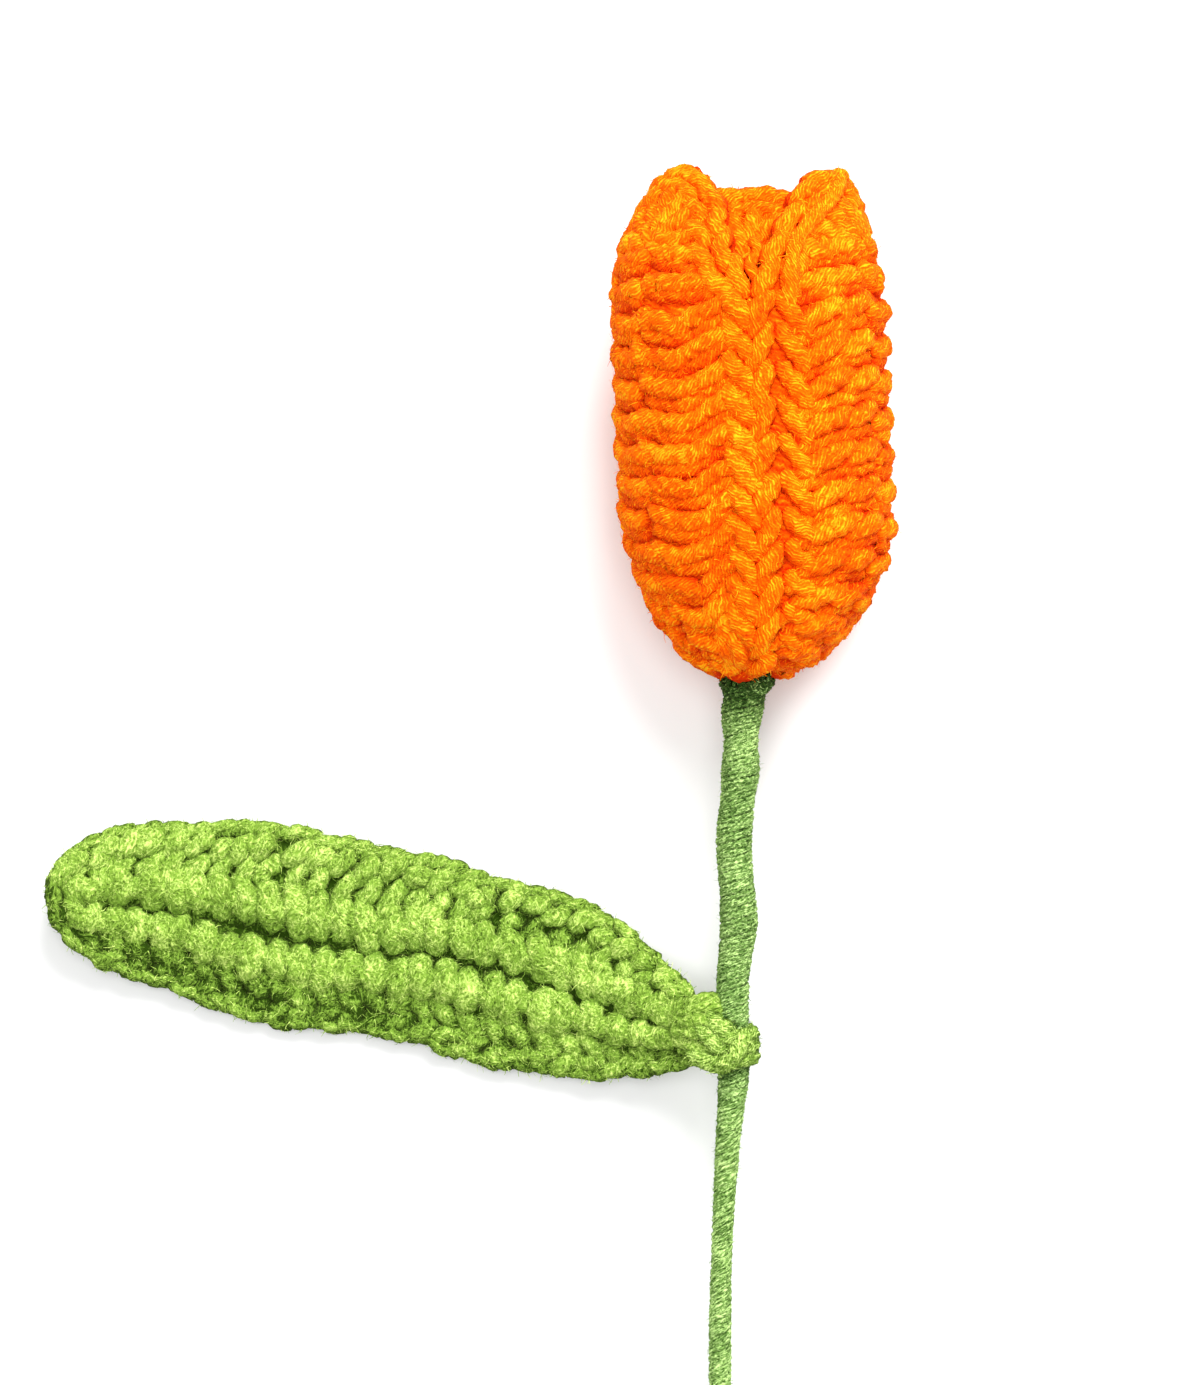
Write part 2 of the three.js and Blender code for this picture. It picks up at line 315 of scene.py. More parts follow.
def back_with_layer(yarn, surface, across, along, heights, depth):
    """Lays the thin layer through places of a petal or leaf, between two heights of its fabric."""
    sides = [surface.place(np.stack([across.ravel(), along.ravel(), np.full(across.size, w)], 1))
             .reshape(*across.shape, 3) for w in heights]
    lay_sheet(yarn, sides, depth=depth)


# %% [markdown]
# Cotton yarn is never quite smooth: short fibres have worked loose and stand out of it. Hair would
# be lost in the exported model, so each fibre is a narrow ribbon of two quads. The ribbons grow
# from faces drawn by chance, the outer ones only, and bend a little to one side.

# %% Loose fibres
FIBRE_ROOT = 0.02
FIBRE_BEND = 0.35
FIBRE_DEPTH = 3.0


def add_fuzz(yarn, count, length, thickness=0.05, lift=0.3, skip=0.35, upper_share=0.5):
    """Short loose fibres, as narrow bent ribbons that leave the strands' outer side. None grow
    where depth is below skip, and upper_share of them grow on faces that look up."""
    corners, depths = np.vstack(yarn.corners), np.concatenate(yarn.depths)
    tones = np.concatenate(yarn.tones)
    quads = np.vstack([face[0] for face in yarn.faces])
    quads = quads[depths[quads[:, 0]] > skip]
    a, b, c, d = (corners[quads[:, k]] for k in range(4))
    normals = np.cross(c - a, d - b)
    normals /= np.linalg.norm(normals, axis=1, keepdims=True) + 1e-9
    weights = np.linalg.norm(c - a, axis=1) * np.linalg.norm(d - b, axis=1)
    weights *= np.where(normals[:, 2] > 0, upper_share, 1 - upper_share)
    chosen = chance.choice(len(quads), count, p=weights / weights.sum())
    start, normal = ((a + b + c + d) / 4)[chosen], normals[chosen]
    heading = chance.normal(0, 1, (count, 3))
    heading -= np.einsum("ij,ij->i", heading, normal)[:, None] * normal
    heading /= np.linalg.norm(heading, axis=1, keepdims=True)
    side = np.cross(normal, heading)
    bend = chance.normal(0, FIBRE_BEND, (count, 1))
    tilt = chance.uniform(-0.2, 1.0, (count, 1))
    reach = length * chance.uniform(0.5, 1.5, (count, 1))
    rows = []
    for u in (0.0, 0.5, 1.0):
        centre = (start + reach * (heading * u + side * bend * u * u)
                  + normal * (FIBRE_ROOT + lift * (1.6 * u * (1 - u) + u * tilt)))
        width = thickness * (1 - 0.5 * u)
        rows += [centre - side * width, centre + side * width]
    corners_each, base = len(rows), yarn.count
    first = base + corners_each * np.arange(count)[:, None, None]
    strip = np.array([[0, 1, 3, 2], [2, 3, 5, 4]])[None]
    yarn.faces.append(((first + strip).reshape(-1, 4), np.zeros((0, 3), int)))
    yarn.corners.append(np.stack(rows, axis=1).reshape(-1, 3))
    yarn.along.append(np.tile(np.repeat((0, 0.2, 0.4), 2), count))
    yarn.around.append(np.repeat(chance.uniform(0, 0.4, count), corners_each))
    shade = tones[quads[chosen, 0]] + chance.uniform(-1.0, 1.6, count)
    yarn.tones.append(np.repeat(shade, corners_each))
    yarn.depths.append(np.full(corners_each * count, FIBRE_DEPTH))
    yarn.count += corners_each * count


# %% [markdown]
# All strands of a piece go into one mesh, because thousands of small objects would be slow. Blender
# takes whole lists of corners and faces at once. The UV map "yarn" says how far along and around
# its strand a corner is, and the two attributes say its tone and how high it stands.

# %% Faces of a mesh
def set_faces(mesh, quads, triangles):
    """Gives the mesh its faces and returns the list of their corners."""
    loops = np.concatenate([quads.ravel(), triangles.ravel()])
    starts = np.concatenate([np.arange(len(quads)) * 4,
                             len(quads) * 4 + np.arange(len(triangles)) * 3])
    mesh.loops.add(len(loops))
    mesh.loops.foreach_set("vertex_index", loops.astype(np.int32))
    mesh.polygons.add(len(starts))
    mesh.polygons.foreach_set("loop_start", starts.astype(np.int32))
    mesh.update(calc_edges=True)
    mesh.polygons.foreach_set("use_smooth", np.ones(len(starts), bool))
    return loops


# %% From a pile of strands to one mesh
TABLE_GAP = 0.05


def make_piece(yarn, name, node, material):
    """Makes the mesh object that stands for a CAD node."""
    corners = (np.vstack(yarn.corners) + TO_ROW) / 1000
    corners[:, 2] = np.maximum(corners[:, 2], TABLE_GAP / 1000)
    quads = np.vstack([face[0] for face in yarn.faces])
    triangles = np.vstack([face[1] for face in yarn.faces])
    mesh = bpy.data.meshes.new(name)
    mesh.vertices.add(len(corners))
    mesh.vertices.foreach_set("co", corners.ravel().astype(np.float32))
    loops = set_faces(mesh, quads, triangles)

    # A quad that closes the circle round the strand counts on past its first corner.
    along, around = np.concatenate(yarn.along), np.concatenate(yarn.around)
    places = np.stack([along[loops], around[loops]], axis=1)
    in_quads = len(quads) * 4
    wrapped = around[loops][:in_quads].reshape(-1, 4)
    wrapped = wrapped + (wrapped[:, :1] - wrapped > 0.5)
    places[:in_quads, 1] = wrapped.ravel()
    layer = mesh.uv_layers.new(name="yarn")
    layer.data.foreach_set("uv", places.ravel().astype(np.float32))
    for title, values in (("tone", yarn.tones), ("depth", yarn.depths)):
        attribute = mesh.attributes.new(title, "FLOAT", "POINT")
        attribute.data.foreach_set("value", np.concatenate(values).astype(np.float32))
    mesh.materials.append(material)
    mesh.validate()
    made = bpy.data.objects.new(name, mesh)
    bpy.context.scene.collection.objects.link(made)
    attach(made, "root")
    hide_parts(node)
    print(name, "has", 2 * len(quads) + len(triangles), "triangles")


# %% [markdown]
# Finishes in Blender are built from nodes: small boxes that each work out one thing and hand it on
# through a link. The nodes could be placed one by one, but a few short helpers keep what follows
# readable.

# %% Short ways to add nodes
class Nodes:
    """Short ways to add and join a material's nodes."""

    def __init__(self, name):
        self.material = bpy.data.materials.new(name)
        self.material.use_nodes = True
        self.tree = self.material.node_tree
        self.tree.nodes.clear()

    def add(self, kind, inputs=None, **settings):
        """Adds a node. inputs are its sockets by name or number, settings its other choices."""
        node = self.tree.nodes.new(kind)
        for key, value in settings.items():
            setattr(node, key, value)
        for socket, value in (inputs or {}).items():
            self.put(node.inputs[socket], value)
        return node

    def put(self, socket, value):
        """Links the socket if value is another node's output, and else sets it."""
        if isinstance(value, bpy.types.NodeSocket):
            self.tree.links.new(value, socket)
        else:
            socket.default_value = value

    def maths(self, operation, *values):
        """Works out one number from others."""
        node = self.add("ShaderNodeMath", operation=operation)
        for socket, value in zip(node.inputs, values):
            self.put(socket, value)
        return node.outputs[0]

    def vectors(self, operation, *values, result=0):
        """Works out one direction or place from others."""
        node = self.add("ShaderNodeVectorMath", operation=operation)
        for socket, value in zip(node.inputs, values):
            self.put(socket, value)
        return node.outputs[result]

    def noise(self, where, scale, detail=2.0, roughness=0.5):
        """Soft random values, mostly near 0.5. A larger scale makes smaller blots."""
        node = self.add("ShaderNodeTexNoise", {"Vector": where, "Scale": scale, "Detail": detail,
                                               "Roughness": roughness})
        return node.outputs["Fac"]


# %% [markdown]
# Soft yarn felts: its fibres lie in small patches, and in each patch they run in a direction of
# their own. Noise that is stretched in one direction makes strokes. To stretch it, the place that
# the noise reads is pulled back along the direction of the patch.

# %% Felt
def felt_strokes(n, where, grain, patch=1.2, fibre=0.3, length=1.9):
    """Fine strokes, in mm, whose direction changes from patch to patch. grain is the direction
    that they keep to on the whole."""
    cells = n.add("ShaderNodeTexVoronoi", {"Vector": where, "Scale": 1000 / patch})
    heading = n.vectors("ADD", cells.outputs["Color"], [side - 0.5 for side in grain])
    heading = n.vectors("NORMALIZE", heading)
    along = n.vectors("DOT_PRODUCT", where, heading, result=1)
    push = n.add("ShaderNodeVectorMath", {0: heading, "Scale": along}, operation="SCALE")
    push = n.add("ShaderNodeVectorMath", {0: push.outputs[0], "Scale": 1 - fibre / length},
                 operation="SCALE")
    return n.noise(n.vectors("SUBTRACT", where, push.outputs[0]), 1000 / fibre, 1)


# %% [markdown]
# Seen close to, a strand is many fine threads in a spiral, each lit a little differently, and that
# light is painted into the colour. The UV map says where a point lies along and around its strand,
# so a sine across the spiral draws the threads as painted highlights, and noise that is long in
# their direction breaks them into short strokes.

# %% Strokes along the threads
THREADS = 15
THREAD_SPACING = 0.52
DASH_ALONG, DASH_AROUND = 0.75, 5.025
DASH_SCALES = (0.85, 0.9, 43.0)


def thread_strokes(n, along, around, tone, wander, order):
    """Short strokes of painted highlight that follow the threads, mostly from 0 to 1.5.
    order says how far.
    """
    across = n.maths("ADD", n.maths("DIVIDE", along, THREAD_SPACING),
                     n.maths("MULTIPLY", around, THREADS))
    across = n.maths("ADD", across, n.maths("MULTIPLY", wander, 3.2 - 2 * order))
    onward = n.maths("SUBTRACT", n.maths("MULTIPLY", along, DASH_ALONG),
                     n.maths("MULTIPLY", around, DASH_AROUND))
    parts = {k: n.maths("MULTIPLY", part, DASH_SCALES[k])
             for k, part in enumerate((across, onward, tone))}
    dash = n.noise(n.add("ShaderNodeCombineXYZ", parts).outputs[0], 1.0, 2, 0.6)
    thread = n.maths("SINE", n.maths("MULTIPLY", across, 2 * math.pi))
    thread = n.maths("MULTIPLY_ADD", thread, 0.5, 0.5)
    strokes = n.maths("MULTIPLY", n.maths("MULTIPLY_ADD", thread, order, 1 - order), dash)
    return n.maths("MULTIPLY", strokes, 2.0)


# %% [markdown]
# No strand is of one even colour. Strokes, felt, large blotches and the strand's own tone are
# summed, and a ramp of three colours turns the sum into a colour. Low places get a lower sum, so
# painted shade makes the colour deeper and fuller in the crevices, as where light has bounced
# between strands. A painted glint lifts the brightest strokes, a highlight as on smooth cotton. A
# bump gives the strokes and the felt relief.

# %% A ramp of three colours
RAMP_START = 0.3
MIDDLE_OF_RAMP = 0.65


def three_colours(n, mix, dark, middle, light):
    """Turns a number into a colour, by way of a ramp with three stops."""
    ramp = n.add("ShaderNodeValToRGB", {0: mix})
    ramp.color_ramp.elements[0].position = RAMP_START
    ramp.color_ramp.elements[0].color = (*dark, 1)
    ramp.color_ramp.elements[1].position = 1.0
    ramp.color_ramp.elements[1].color = (*light, 1)
    ramp.color_ramp.elements.new(MIDDLE_OF_RAMP).color = (*middle, 1)
    return ramp.outputs[0]


# %% The yarn's finish
WANDER_SCALE, BLOTCH_SCALE = 700, 260
BLOTCH_SHARE = 0.4
# How far painted shade lowers the sum in the crevices, and where the painted glint starts.
CREVICE_SHADE = -0.42
GLINT_START = 0.95
SECOND_FELT = dict(shift=(0.1, 0.2, 0.3), patch=1.6, length=2.2)


def yarn_material(name, dark, middle, light, order=0.8, strokes_share=0.45, felt_share=0.3,
                  crevice=(0.1, 1.4), bump=0.14, sheen=0.1, tone_share=0.12, grain=(0, 0, 0),
                  glint=0.0):
    """order says how far the fibres keep to their threads, crevice which heights get painted shade, and
    grain which direction the felt keeps to. Each share is how much a part adds to the colour."""
    n = Nodes(name)
    place = n.add("ShaderNodeSeparateXYZ", {0: n.add("ShaderNodeUVMap", uv_map="yarn").outputs[0]})
    tone = n.add("ShaderNodeAttribute", attribute_name="tone").outputs["Fac"]
    depth = n.add("ShaderNodeAttribute", attribute_name="depth").outputs["Fac"]
    where = n.add("ShaderNodeTexCoord").outputs["Object"]
    wander = n.noise(where, WANDER_SCALE, 2)
    blotch = n.noise(where, BLOTCH_SCALE, 2)
    strokes = thread_strokes(n, place.outputs[0], place.outputs[1], tone, wander, order)
    shifted = n.vectors("ADD", where, SECOND_FELT["shift"])
    felt = n.maths("MAXIMUM", felt_strokes(n, where, grain),
                   felt_strokes(n, shifted, grain, patch=SECOND_FELT["patch"],
                                length=SECOND_FELT["length"]))

    # Painted shade: the lower a place stands, by the depth attribute, the darker its colour.
    shade = n.add("ShaderNodeMapRange", {"Value": depth, "From Min": crevice[0],
                                         "From Max": crevice[1], "To Min": CREVICE_SHADE,
                                         "To Max": 0.0},
                  interpolation_type="SMOOTHSTEP").outputs[0]
    mix = n.maths("MULTIPLY_ADD", strokes, strokes_share, shade)
    mix = n.maths("MULTIPLY_ADD", blotch, BLOTCH_SHARE, mix)
    mix = n.maths("MULTIPLY_ADD", tone, tone_share, mix)
    mix = n.maths("MULTIPLY_ADD", felt, felt_share, mix)
    # Painted highlight: the brightest strokes are lifted towards the light colour.
    painted_glint = n.maths("MAXIMUM", n.maths("SUBTRACT", strokes, GLINT_START), 0.0)
    mix = n.maths("MULTIPLY_ADD", painted_glint, glint, mix)

    # The usual sum is moved to the middle of the ramp, so middle is the yarn's usual colour.
    usual = strokes_share * (1 - order / 2) + BLOTCH_SHARE / 2 + tone_share / 2 + 0.55 * felt_share
    mix = n.maths("ADD", mix, MIDDLE_OF_RAMP - usual)
    colour = three_colours(n, mix, dark, middle, light)

    height = n.maths("MULTIPLY_ADD", felt, 1.6 * felt_share, n.maths("MULTIPLY", strokes, 0.6))
    relief = n.add("ShaderNodeBump", {"Height": height, "Strength": 0.9,
                                      "Distance": bump / 1000}).outputs[0]
    surface = n.add("ShaderNodeBsdfPrincipled", {
        "Base Color": colour, "Normal": relief, "Roughness": 0.9,
        "Specular IOR Level": 0.05, "Sheen Weight": sheen, "Sheen Roughness": 0.5,
        "Sheen Tint": (*light, 1)})
    n.add("ShaderNodeOutputMaterial", {0: surface.outputs[0]})
    return n.material


# %% [markdown]
# Four yarns are in the flower. The petals are of smooth cotton, whose threads show, with a painted
# glint. The leaf and the tie are of a softer yarn that has felted, so its fibres lie in patches and
# hide the threads. The stem's strand is thin and pulled tight, so it has the lowest relief. Each
# yarn has three colours, given as the eye sees them: with painted shade in the crevices, on the
# whole, and with painted highlight on the crests.

# %% The four yarns
def linear(red, green, blue):
    """A colour as the eye sees it, from 0 to 255, as the light it reflects."""
    return tuple(((v / 255 + 0.055) / 1.055) ** 2.4 if v > 10 else v / 3294.6
                 for v in (red, green, blue))


petal_yarn = yarn_material("petal_yarn", linear(208, 46, 0), linear(249, 104, 0),
                           linear(255, 182, 22), order=0.4, felt_share=0.5, sheen=0.02,
                           crevice=(0.1, 1.65), bump=0.17, glint=0.35)
leaf_yarn = yarn_material("leaf_yarn", linear(40, 66, 6), linear(134, 172, 62),
                          linear(232, 255, 140), order=0.2, strokes_share=0.3, felt_share=1.05,
                          crevice=(-0.2, 1.3), bump=0.25, glint=0.1, tone_share=0.08,
                          grain=(0.12, 0.4, 0))
tie_yarn = yarn_material("tie_yarn", linear(46, 72, 12), linear(128, 166, 62),
                         linear(222, 250, 136), order=0.4, strokes_share=0.5, felt_share=1.2,
                         crevice=(-0.1, 1.6), bump=0.25, grain=(0.3, 0.2, 0), glint=0.3)
stem_yarn = yarn_material("stem_yarn", linear(42, 70, 22), linear(116, 154, 74),
                          linear(208, 240, 152), order=0.1, strokes_share=1.0, felt_share=1.0,
                          crevice=(0.0, 1.5), bump=0.12, grain=(0.35, 0.05, 0))
print("yarns:", [made.name for made in (petal_yarn, leaf_yarn, tie_yarn, stem_yarn)])

# %% [markdown]
# A petal is worked round and round a foundation chain that runs along its middle. Posts reach from
# the chain to the edge, and the loops that close them lie along the edge as a braid of Vs. On a
# petal's right side the work runs upwards, on its left side downwards. All these strands lie on an
# imagined surface: a place is given as millimetres to the right, up and out, and the surface turns
# it into a point in space. So a stitch can be planned as on flat paper.

# %% Places on the bloom
def flatness_at(height):
    """The bloom's depth as a share of its width. It is round at the base and flatter above."""
    return 1 - (1 - BLOOM_FLATNESS) * smooth_step(height, 0, ROUND_BASE_HEIGHT)


def bloom_point(turn, height, opening=0):
    """Points of the bloom's middle surface. turn is the way round it, and 0 is up."""
    half_width = smooth_value(BLOOM_PROFILE, height)
    towards_tip = smooth_step(height, CLOSING_START, BLOOM_HEIGHT)
    half_depth = half_width * flatness_at(height) * (1 - TIP_CLOSING * towards_tip)
    folded_in = BACK_TIP_DENT * smooth_step(height, DENT_START, DENT_END)
    above_shoulder = smooth_step(height, SHOULDER, BLOOM_HEIGHT)
    spread = 1 + opening * above_shoulder - TIP_SLIMMING * above_shoulder
    back_share = smooth_step(-np.cos(turn), 0.5, 1)
    point = axis_at(height)
    point[..., 0] += half_width * spread * np.sin(turn)
    point[..., 2] += half_depth * (np.cos(turn) + back_share * folded_in)
    return point


# %% Places on a petal
# How far apart two places are that give the surface's slope.
NEAR = 0.05


class Petal:
    """Places on one petal: s mm to the right of its middle line, h mm above the base, w mm out."""

    def __init__(self, turn, height, opening, tip_shift, tip_breadth):
        self.middle, self.height, self.opening = math.radians(turn), height, opening
        self.tip_shift, self.tip_breadth = tip_shift, tip_breadth

    def radius(self, h):
        """How many mm of the fabric one radian of turn takes, on the whole."""
        return smooth_value(BLOOM_PROFILE, h) * (1 + flatness_at(h)) / 2

    def edge(self, h):
        """Distance from the middle line to the petal's edge: a sixth of the way round, and less
        towards the tip."""
        share = smooth_value(TIP_OUTLINE, (h - SHOULDER) / (self.height - SHOULDER))
        return math.pi / 3 * share ** (1 / self.tip_breadth) * self.radius(h)

    def place(self, points):
        """Points (s, h, w) of the petal as points in space."""
        s, h, w = np.asarray(points, float).T
        s = s + self.tip_shift * smooth_step(h, SHOULDER, self.height)
        turn = self.middle + s / self.radius(h)
        surface = bloom_point(turn, h, self.opening)
        across = (bloom_point(turn + NEAR, h, self.opening)
                  - bloom_point(turn - NEAR, h, self.opening))
        upward = (bloom_point(turn, h + NEAR, self.opening)
                  - bloom_point(turn, h - NEAR, self.opening))
        out = np.cross(across, upward)
        out /= np.linalg.norm(out, axis=1, keepdims=True)
        surface[:, 1] += np.where(h > self.height, h - self.height, 0)
        return surface + out * w[:, None]


# %% [markdown]
# A stitch is a strand laid on the fabric through a few points. Made by hand, no two are the same:
# the points are shifted a little by chance, and the strand swells here and there.

# %% Laying a strand on a petal
OUT_STEP = 0.3
LUMPS, LUMP_RINGS = 0.1, 5


def lay(yarn, surface, points, radius, step=RING_STEP, wobble=0.1, swell=0.0, **settings):
    """Lays a strand on a surface along a smooth line through (s, h, w) points. wobble is how far
    chance shifts the points, and swell how much thicker the strand is half way."""
    points = np.array(points, float)
    points += chance.normal(0, 1, points.shape) * (wobble, wobble, wobble * 0.6)
    line = even_steps(smooth_path(points, step), step)
    middle = surface.place(line)
    raised = surface.place(line + (0, 0, OUT_STEP))
    lumps = np.convolve(chance.normal(0, LUMPS, len(line) + LUMP_RINGS - 1),
                        np.ones(LUMP_RINGS) / LUMP_RINGS, "valid")
    radius = radius * (1 + lumps + swell * np.sin(math.pi * np.linspace(0, 1, len(line))))
    yarn.strand(middle, radius, depth=line[:, 2], out=(raised - middle) / OUT_STEP, rough=0.065,
                **settings)


# %% [markdown]
# The stitches follow the petal's edge, so the edge is needed as one line, from the base up the
# right side, over the tip and down the left side. It is smoothed, because yarn takes no sharp
# corner, and its direction is smoothed more, so that neighbouring stitches turn evenly.

# %% The line of a petal's edge
EDGE_START = 1.8


class Braid:
    """The smoothed line of a petal's edge, and places beside it."""

    def __init__(self, petal):
        h = np.concatenate([np.linspace(EDGE_START, SHOULDER, 60),
                            np.linspace(SHOULDER, petal.height, 50)[1:]])
        right = np.stack([petal.edge(h), h], axis=1)
        outline = np.vstack([right, [[0, petal.height + 0.4]], right[::-1] * (-1, 1)])
        for _ in range(6):
            outline[1:-1] = (outline[:-2] + 2 * outline[1:-1] + outline[2:]) / 4
        self.line = even_steps(outline, 0.5)
        direction = np.gradient(self.line, axis=0)
        for _ in range(10):
            direction[1:-1] = (direction[:-2] + 2 * direction[1:-1] + direction[2:]) / 4
        self.direction = direction / np.linalg.norm(direction, axis=1, keepdims=True)
        self.place_on_line = np.arange(len(self.line)) * np.linalg.norm(
            self.line[1] - self.line[0])
        self.length = self.place_on_line[-1]

    def at(self, along, aside, w):
        """The point (s, h, w) that lies along mm on and aside mm outwards."""
        point, ahead = (np.array([np.interp(along, self.place_on_line, track[:, k])
                                  for k in (0, 1)]) for track in (self.line, self.direction))
        ahead /= np.linalg.norm(ahead)
        beyond = along - np.clip(along, 0, self.length)
        s, h = point + ahead * beyond + np.array([ahead[1], -ahead[0]]) * aside
        return np.array([s, h, w])


# %% [markdown]
# Each loop of the braid is one strand that comes up from inside, spreads into the two legs of a V
# and dives under the next loop. Where two petals are sewn together, the right edge of one is
# tucked under the left edge of the next, so only one leg of its Vs is seen. The points of a leg
# are shares of the stitch, so one short table serves the small stitches at the tip as well.

# %% The braid of Vs
LEG_PATH = (
    (-0.12, 0.26, -0.75), (0.02, 0.30, 0.15), (0.25, 0.40, 0.80), (0.55, 0.66, 1.00),
    (0.85, 0.92, 0.80), (1.08, 1.03, 0.20), (1.22, 1.02, -0.60),
)
# inset is how far inside the edge a V's middle lies, outer and inner how far its legs reach from
# there, inner_rise the height of the inner leg, and start how far right of the middle line the
# posts begin.
SIDES = {
    "left": dict(inset=1.9, outer=2.1, inner=3.2, radius=1.18, start=1.0, inner_rise=0.45),
    "right": dict(inset=-0.3, outer=0.0, inner=2.9, radius=1.2, start=0.3, inner_rise=0.8),
    "tip": dict(inset=2.2, outer=1.3, inner=1.6, radius=1.15, start=0.6, inner_rise=0.8),
}
OUTER_RISE = 0.8
LEAST_LEG = 0.3
LEAST_ASIDE = 0.75
OPEN_TIP = 0.2


def lay_loop(yarn, petal, braid, start, pitch, style, small, tip, inner):
    """Both legs of one V. Near the tip the petal's inner side is seen, so it gets them too."""
    outer, inset = style["outer"] * small, style["inset"] * small
    faces = (1, -1) if tip > OPEN_TIP else (1,)
    for leg, reach, rise in ((1, outer, OUTER_RISE), (-1, inner, style["inner_rise"])):
        if reach < LEAST_LEG:
            continue
        for face in faces:
            loop = [braid.at(start + along * pitch, leg * max(aside * reach, LEAST_ASIDE) - inset,
                             face * (0.15 + out * rise)) for along, aside, out in LEG_PATH]
            lay(yarn, petal, loop, style["radius"] * (0.8 + 0.2 * small), wobble=0.12, swell=0.12)


# %% [markdown]
# A post is a stitch's long stem, two strands side by side, from the petal's middle line to
# the braid. The pull of the fabric bends it: on the left petal's right half the posts hang in deep
# waves, and elsewhere they rise or fall. A wave is a table of how far a post swings at each share
# of its length. On the falling side the front of a post shows as two separate slanting lumps, so
# two short thick strands take the place of one long strand there.

# %% The shape of a post
WAVE_PLACES = (0, 0.12, 0.33, 0.53, 0.72, 0.9, 1.0)
WAVES = {
    "deep": (-0.3, -1.0, -1.7, -1.9, -0.25, 1.2, 1.5),
    "rising": (-0.6, -0.7, -0.6, -0.2, 0.5, 1.2, 1.5),
    "falling": (1.1, 0.8, 0.35, -0.2, -0.95, -1.8, -2.2),
    "fan": (0, 0.05, 0.1, 0.1, 0.1, 0.05, 0),
}
POST_STEPS = np.array([0.0, 0.05, 0.14, 0.28, 0.45, 0.6, 0.75, 0.88, 0.96, 1.03])
POST_RISE = np.array([-0.45, 0.0, 0.1, 0.14, 0.12, 0.14, 0.16, 0.1, -0.15, -0.6])
RAISED_END = 0.4
SHORTEST_POST, FULL_POST = 2.0, 9
# How far a strand hangs below the post's line, its height in the fabric, and its radius.
OVER, UNDER = (0.0, 0.42, 1.36), (1.62, -0.3, 1.22)
# Which face of the petal a strand lies on, its step, and its points for each ply.
FRONT, BACK = (1, RING_STEP, 4), (-1, 0.7, 3)
# Points of a lump: a share of the post's length, how far it is lifted, and its height.
SLANTING_LUMPS = (
    ((-0.02, 1.7, -0.7), (0.07, 1.5, 0.1), (0.2, 0.9, 0.45), (0.34, 0.2, 0.4), (0.46, -0.4, 0.0),
     (0.54, -0.7, -0.7)),
    ((0.34, 1.3, -0.7), (0.43, 1.1, 0.1), (0.58, 0.45, 0.45), (0.74, -0.5, 0.45),
     (0.88, -1.5, 0.15), (0.97, -2.1, -0.3), (1.05, -2.4, -0.8)),
)
print("posts swing up to", max(abs(v) for wave in WAVES.values() for v in wave), "mm")


# %% The posts
def lay_post(yarn, petal, base, end, sign, wave_name, tip):
    """One post from base to end. sign is 1 on the petal's right side and -1 on its left."""
    reach = end - base
    length = np.linalg.norm(reach)
    if length < SHORTEST_POST:
        return
    up = np.array([-reach[1], reach[0], 0]) / length * sign
    share = min(1, length / FULL_POST)
    wave = (np.interp(POST_STEPS, WAVE_PLACES, WAVES[wave_name]) * (1 - tip)
            + np.interp(POST_STEPS, WAVE_PLACES, WAVES["fan"]) * tip) * share
    tail = RAISED_END * np.clip((POST_STEPS - 0.8) / 0.2, 0, 1) * (wave_name == "rising")
    slanting = wave_name == "falling" and tip < 0.3
    if slanting:
        for lump in SLANTING_LUMPS:
            along, lift, out = np.array(lump).T
            path = base + np.outer(along, reach) + np.outer(lift * share, up)
            path[:, 2] += out
            # The lumps get a little painted shade.
            lay(yarn, petal, path, OVER[2], wobble=0.15, swell=0.12, sunk=0.12)
    for strand in (OVER, UNDER):
        drop, depth, radius = strand
        shift = wave - drop * (1 - 0.5 * tip * (1 - POST_STEPS))
        for face, step, points in (BACK,) if slanting and strand is OVER else (FRONT, BACK):
            path = (base + reach * POST_STEPS[:, None] + up * shift[:, None]
                    + np.outer(face * (depth + POST_RISE + tail) - 0.15, (0, 0, 1)))
            lay(yarn, petal, path, radius, wobble=0.15, swell=0.08, step=step,
                ply_points=points)


# %% [markdown]
# A whole petal is now a walk along its edge, stitch by stitch: a V of the braid, and a post from
# the middle line to it. Near the tip the posts spread like a fan. On the right petal one long
# smooth strand also runs along the edge up to the tip, the end of the braid pulled straight.

# %% A whole petal
FAN_BELOW_TIP = 9
UNDER_BRAID = 0.6
LOWEST_POST = 2.2
LAYER_ROWS, LAYER_COLUMNS = 40, 21
LONG_STRAND = 1.0


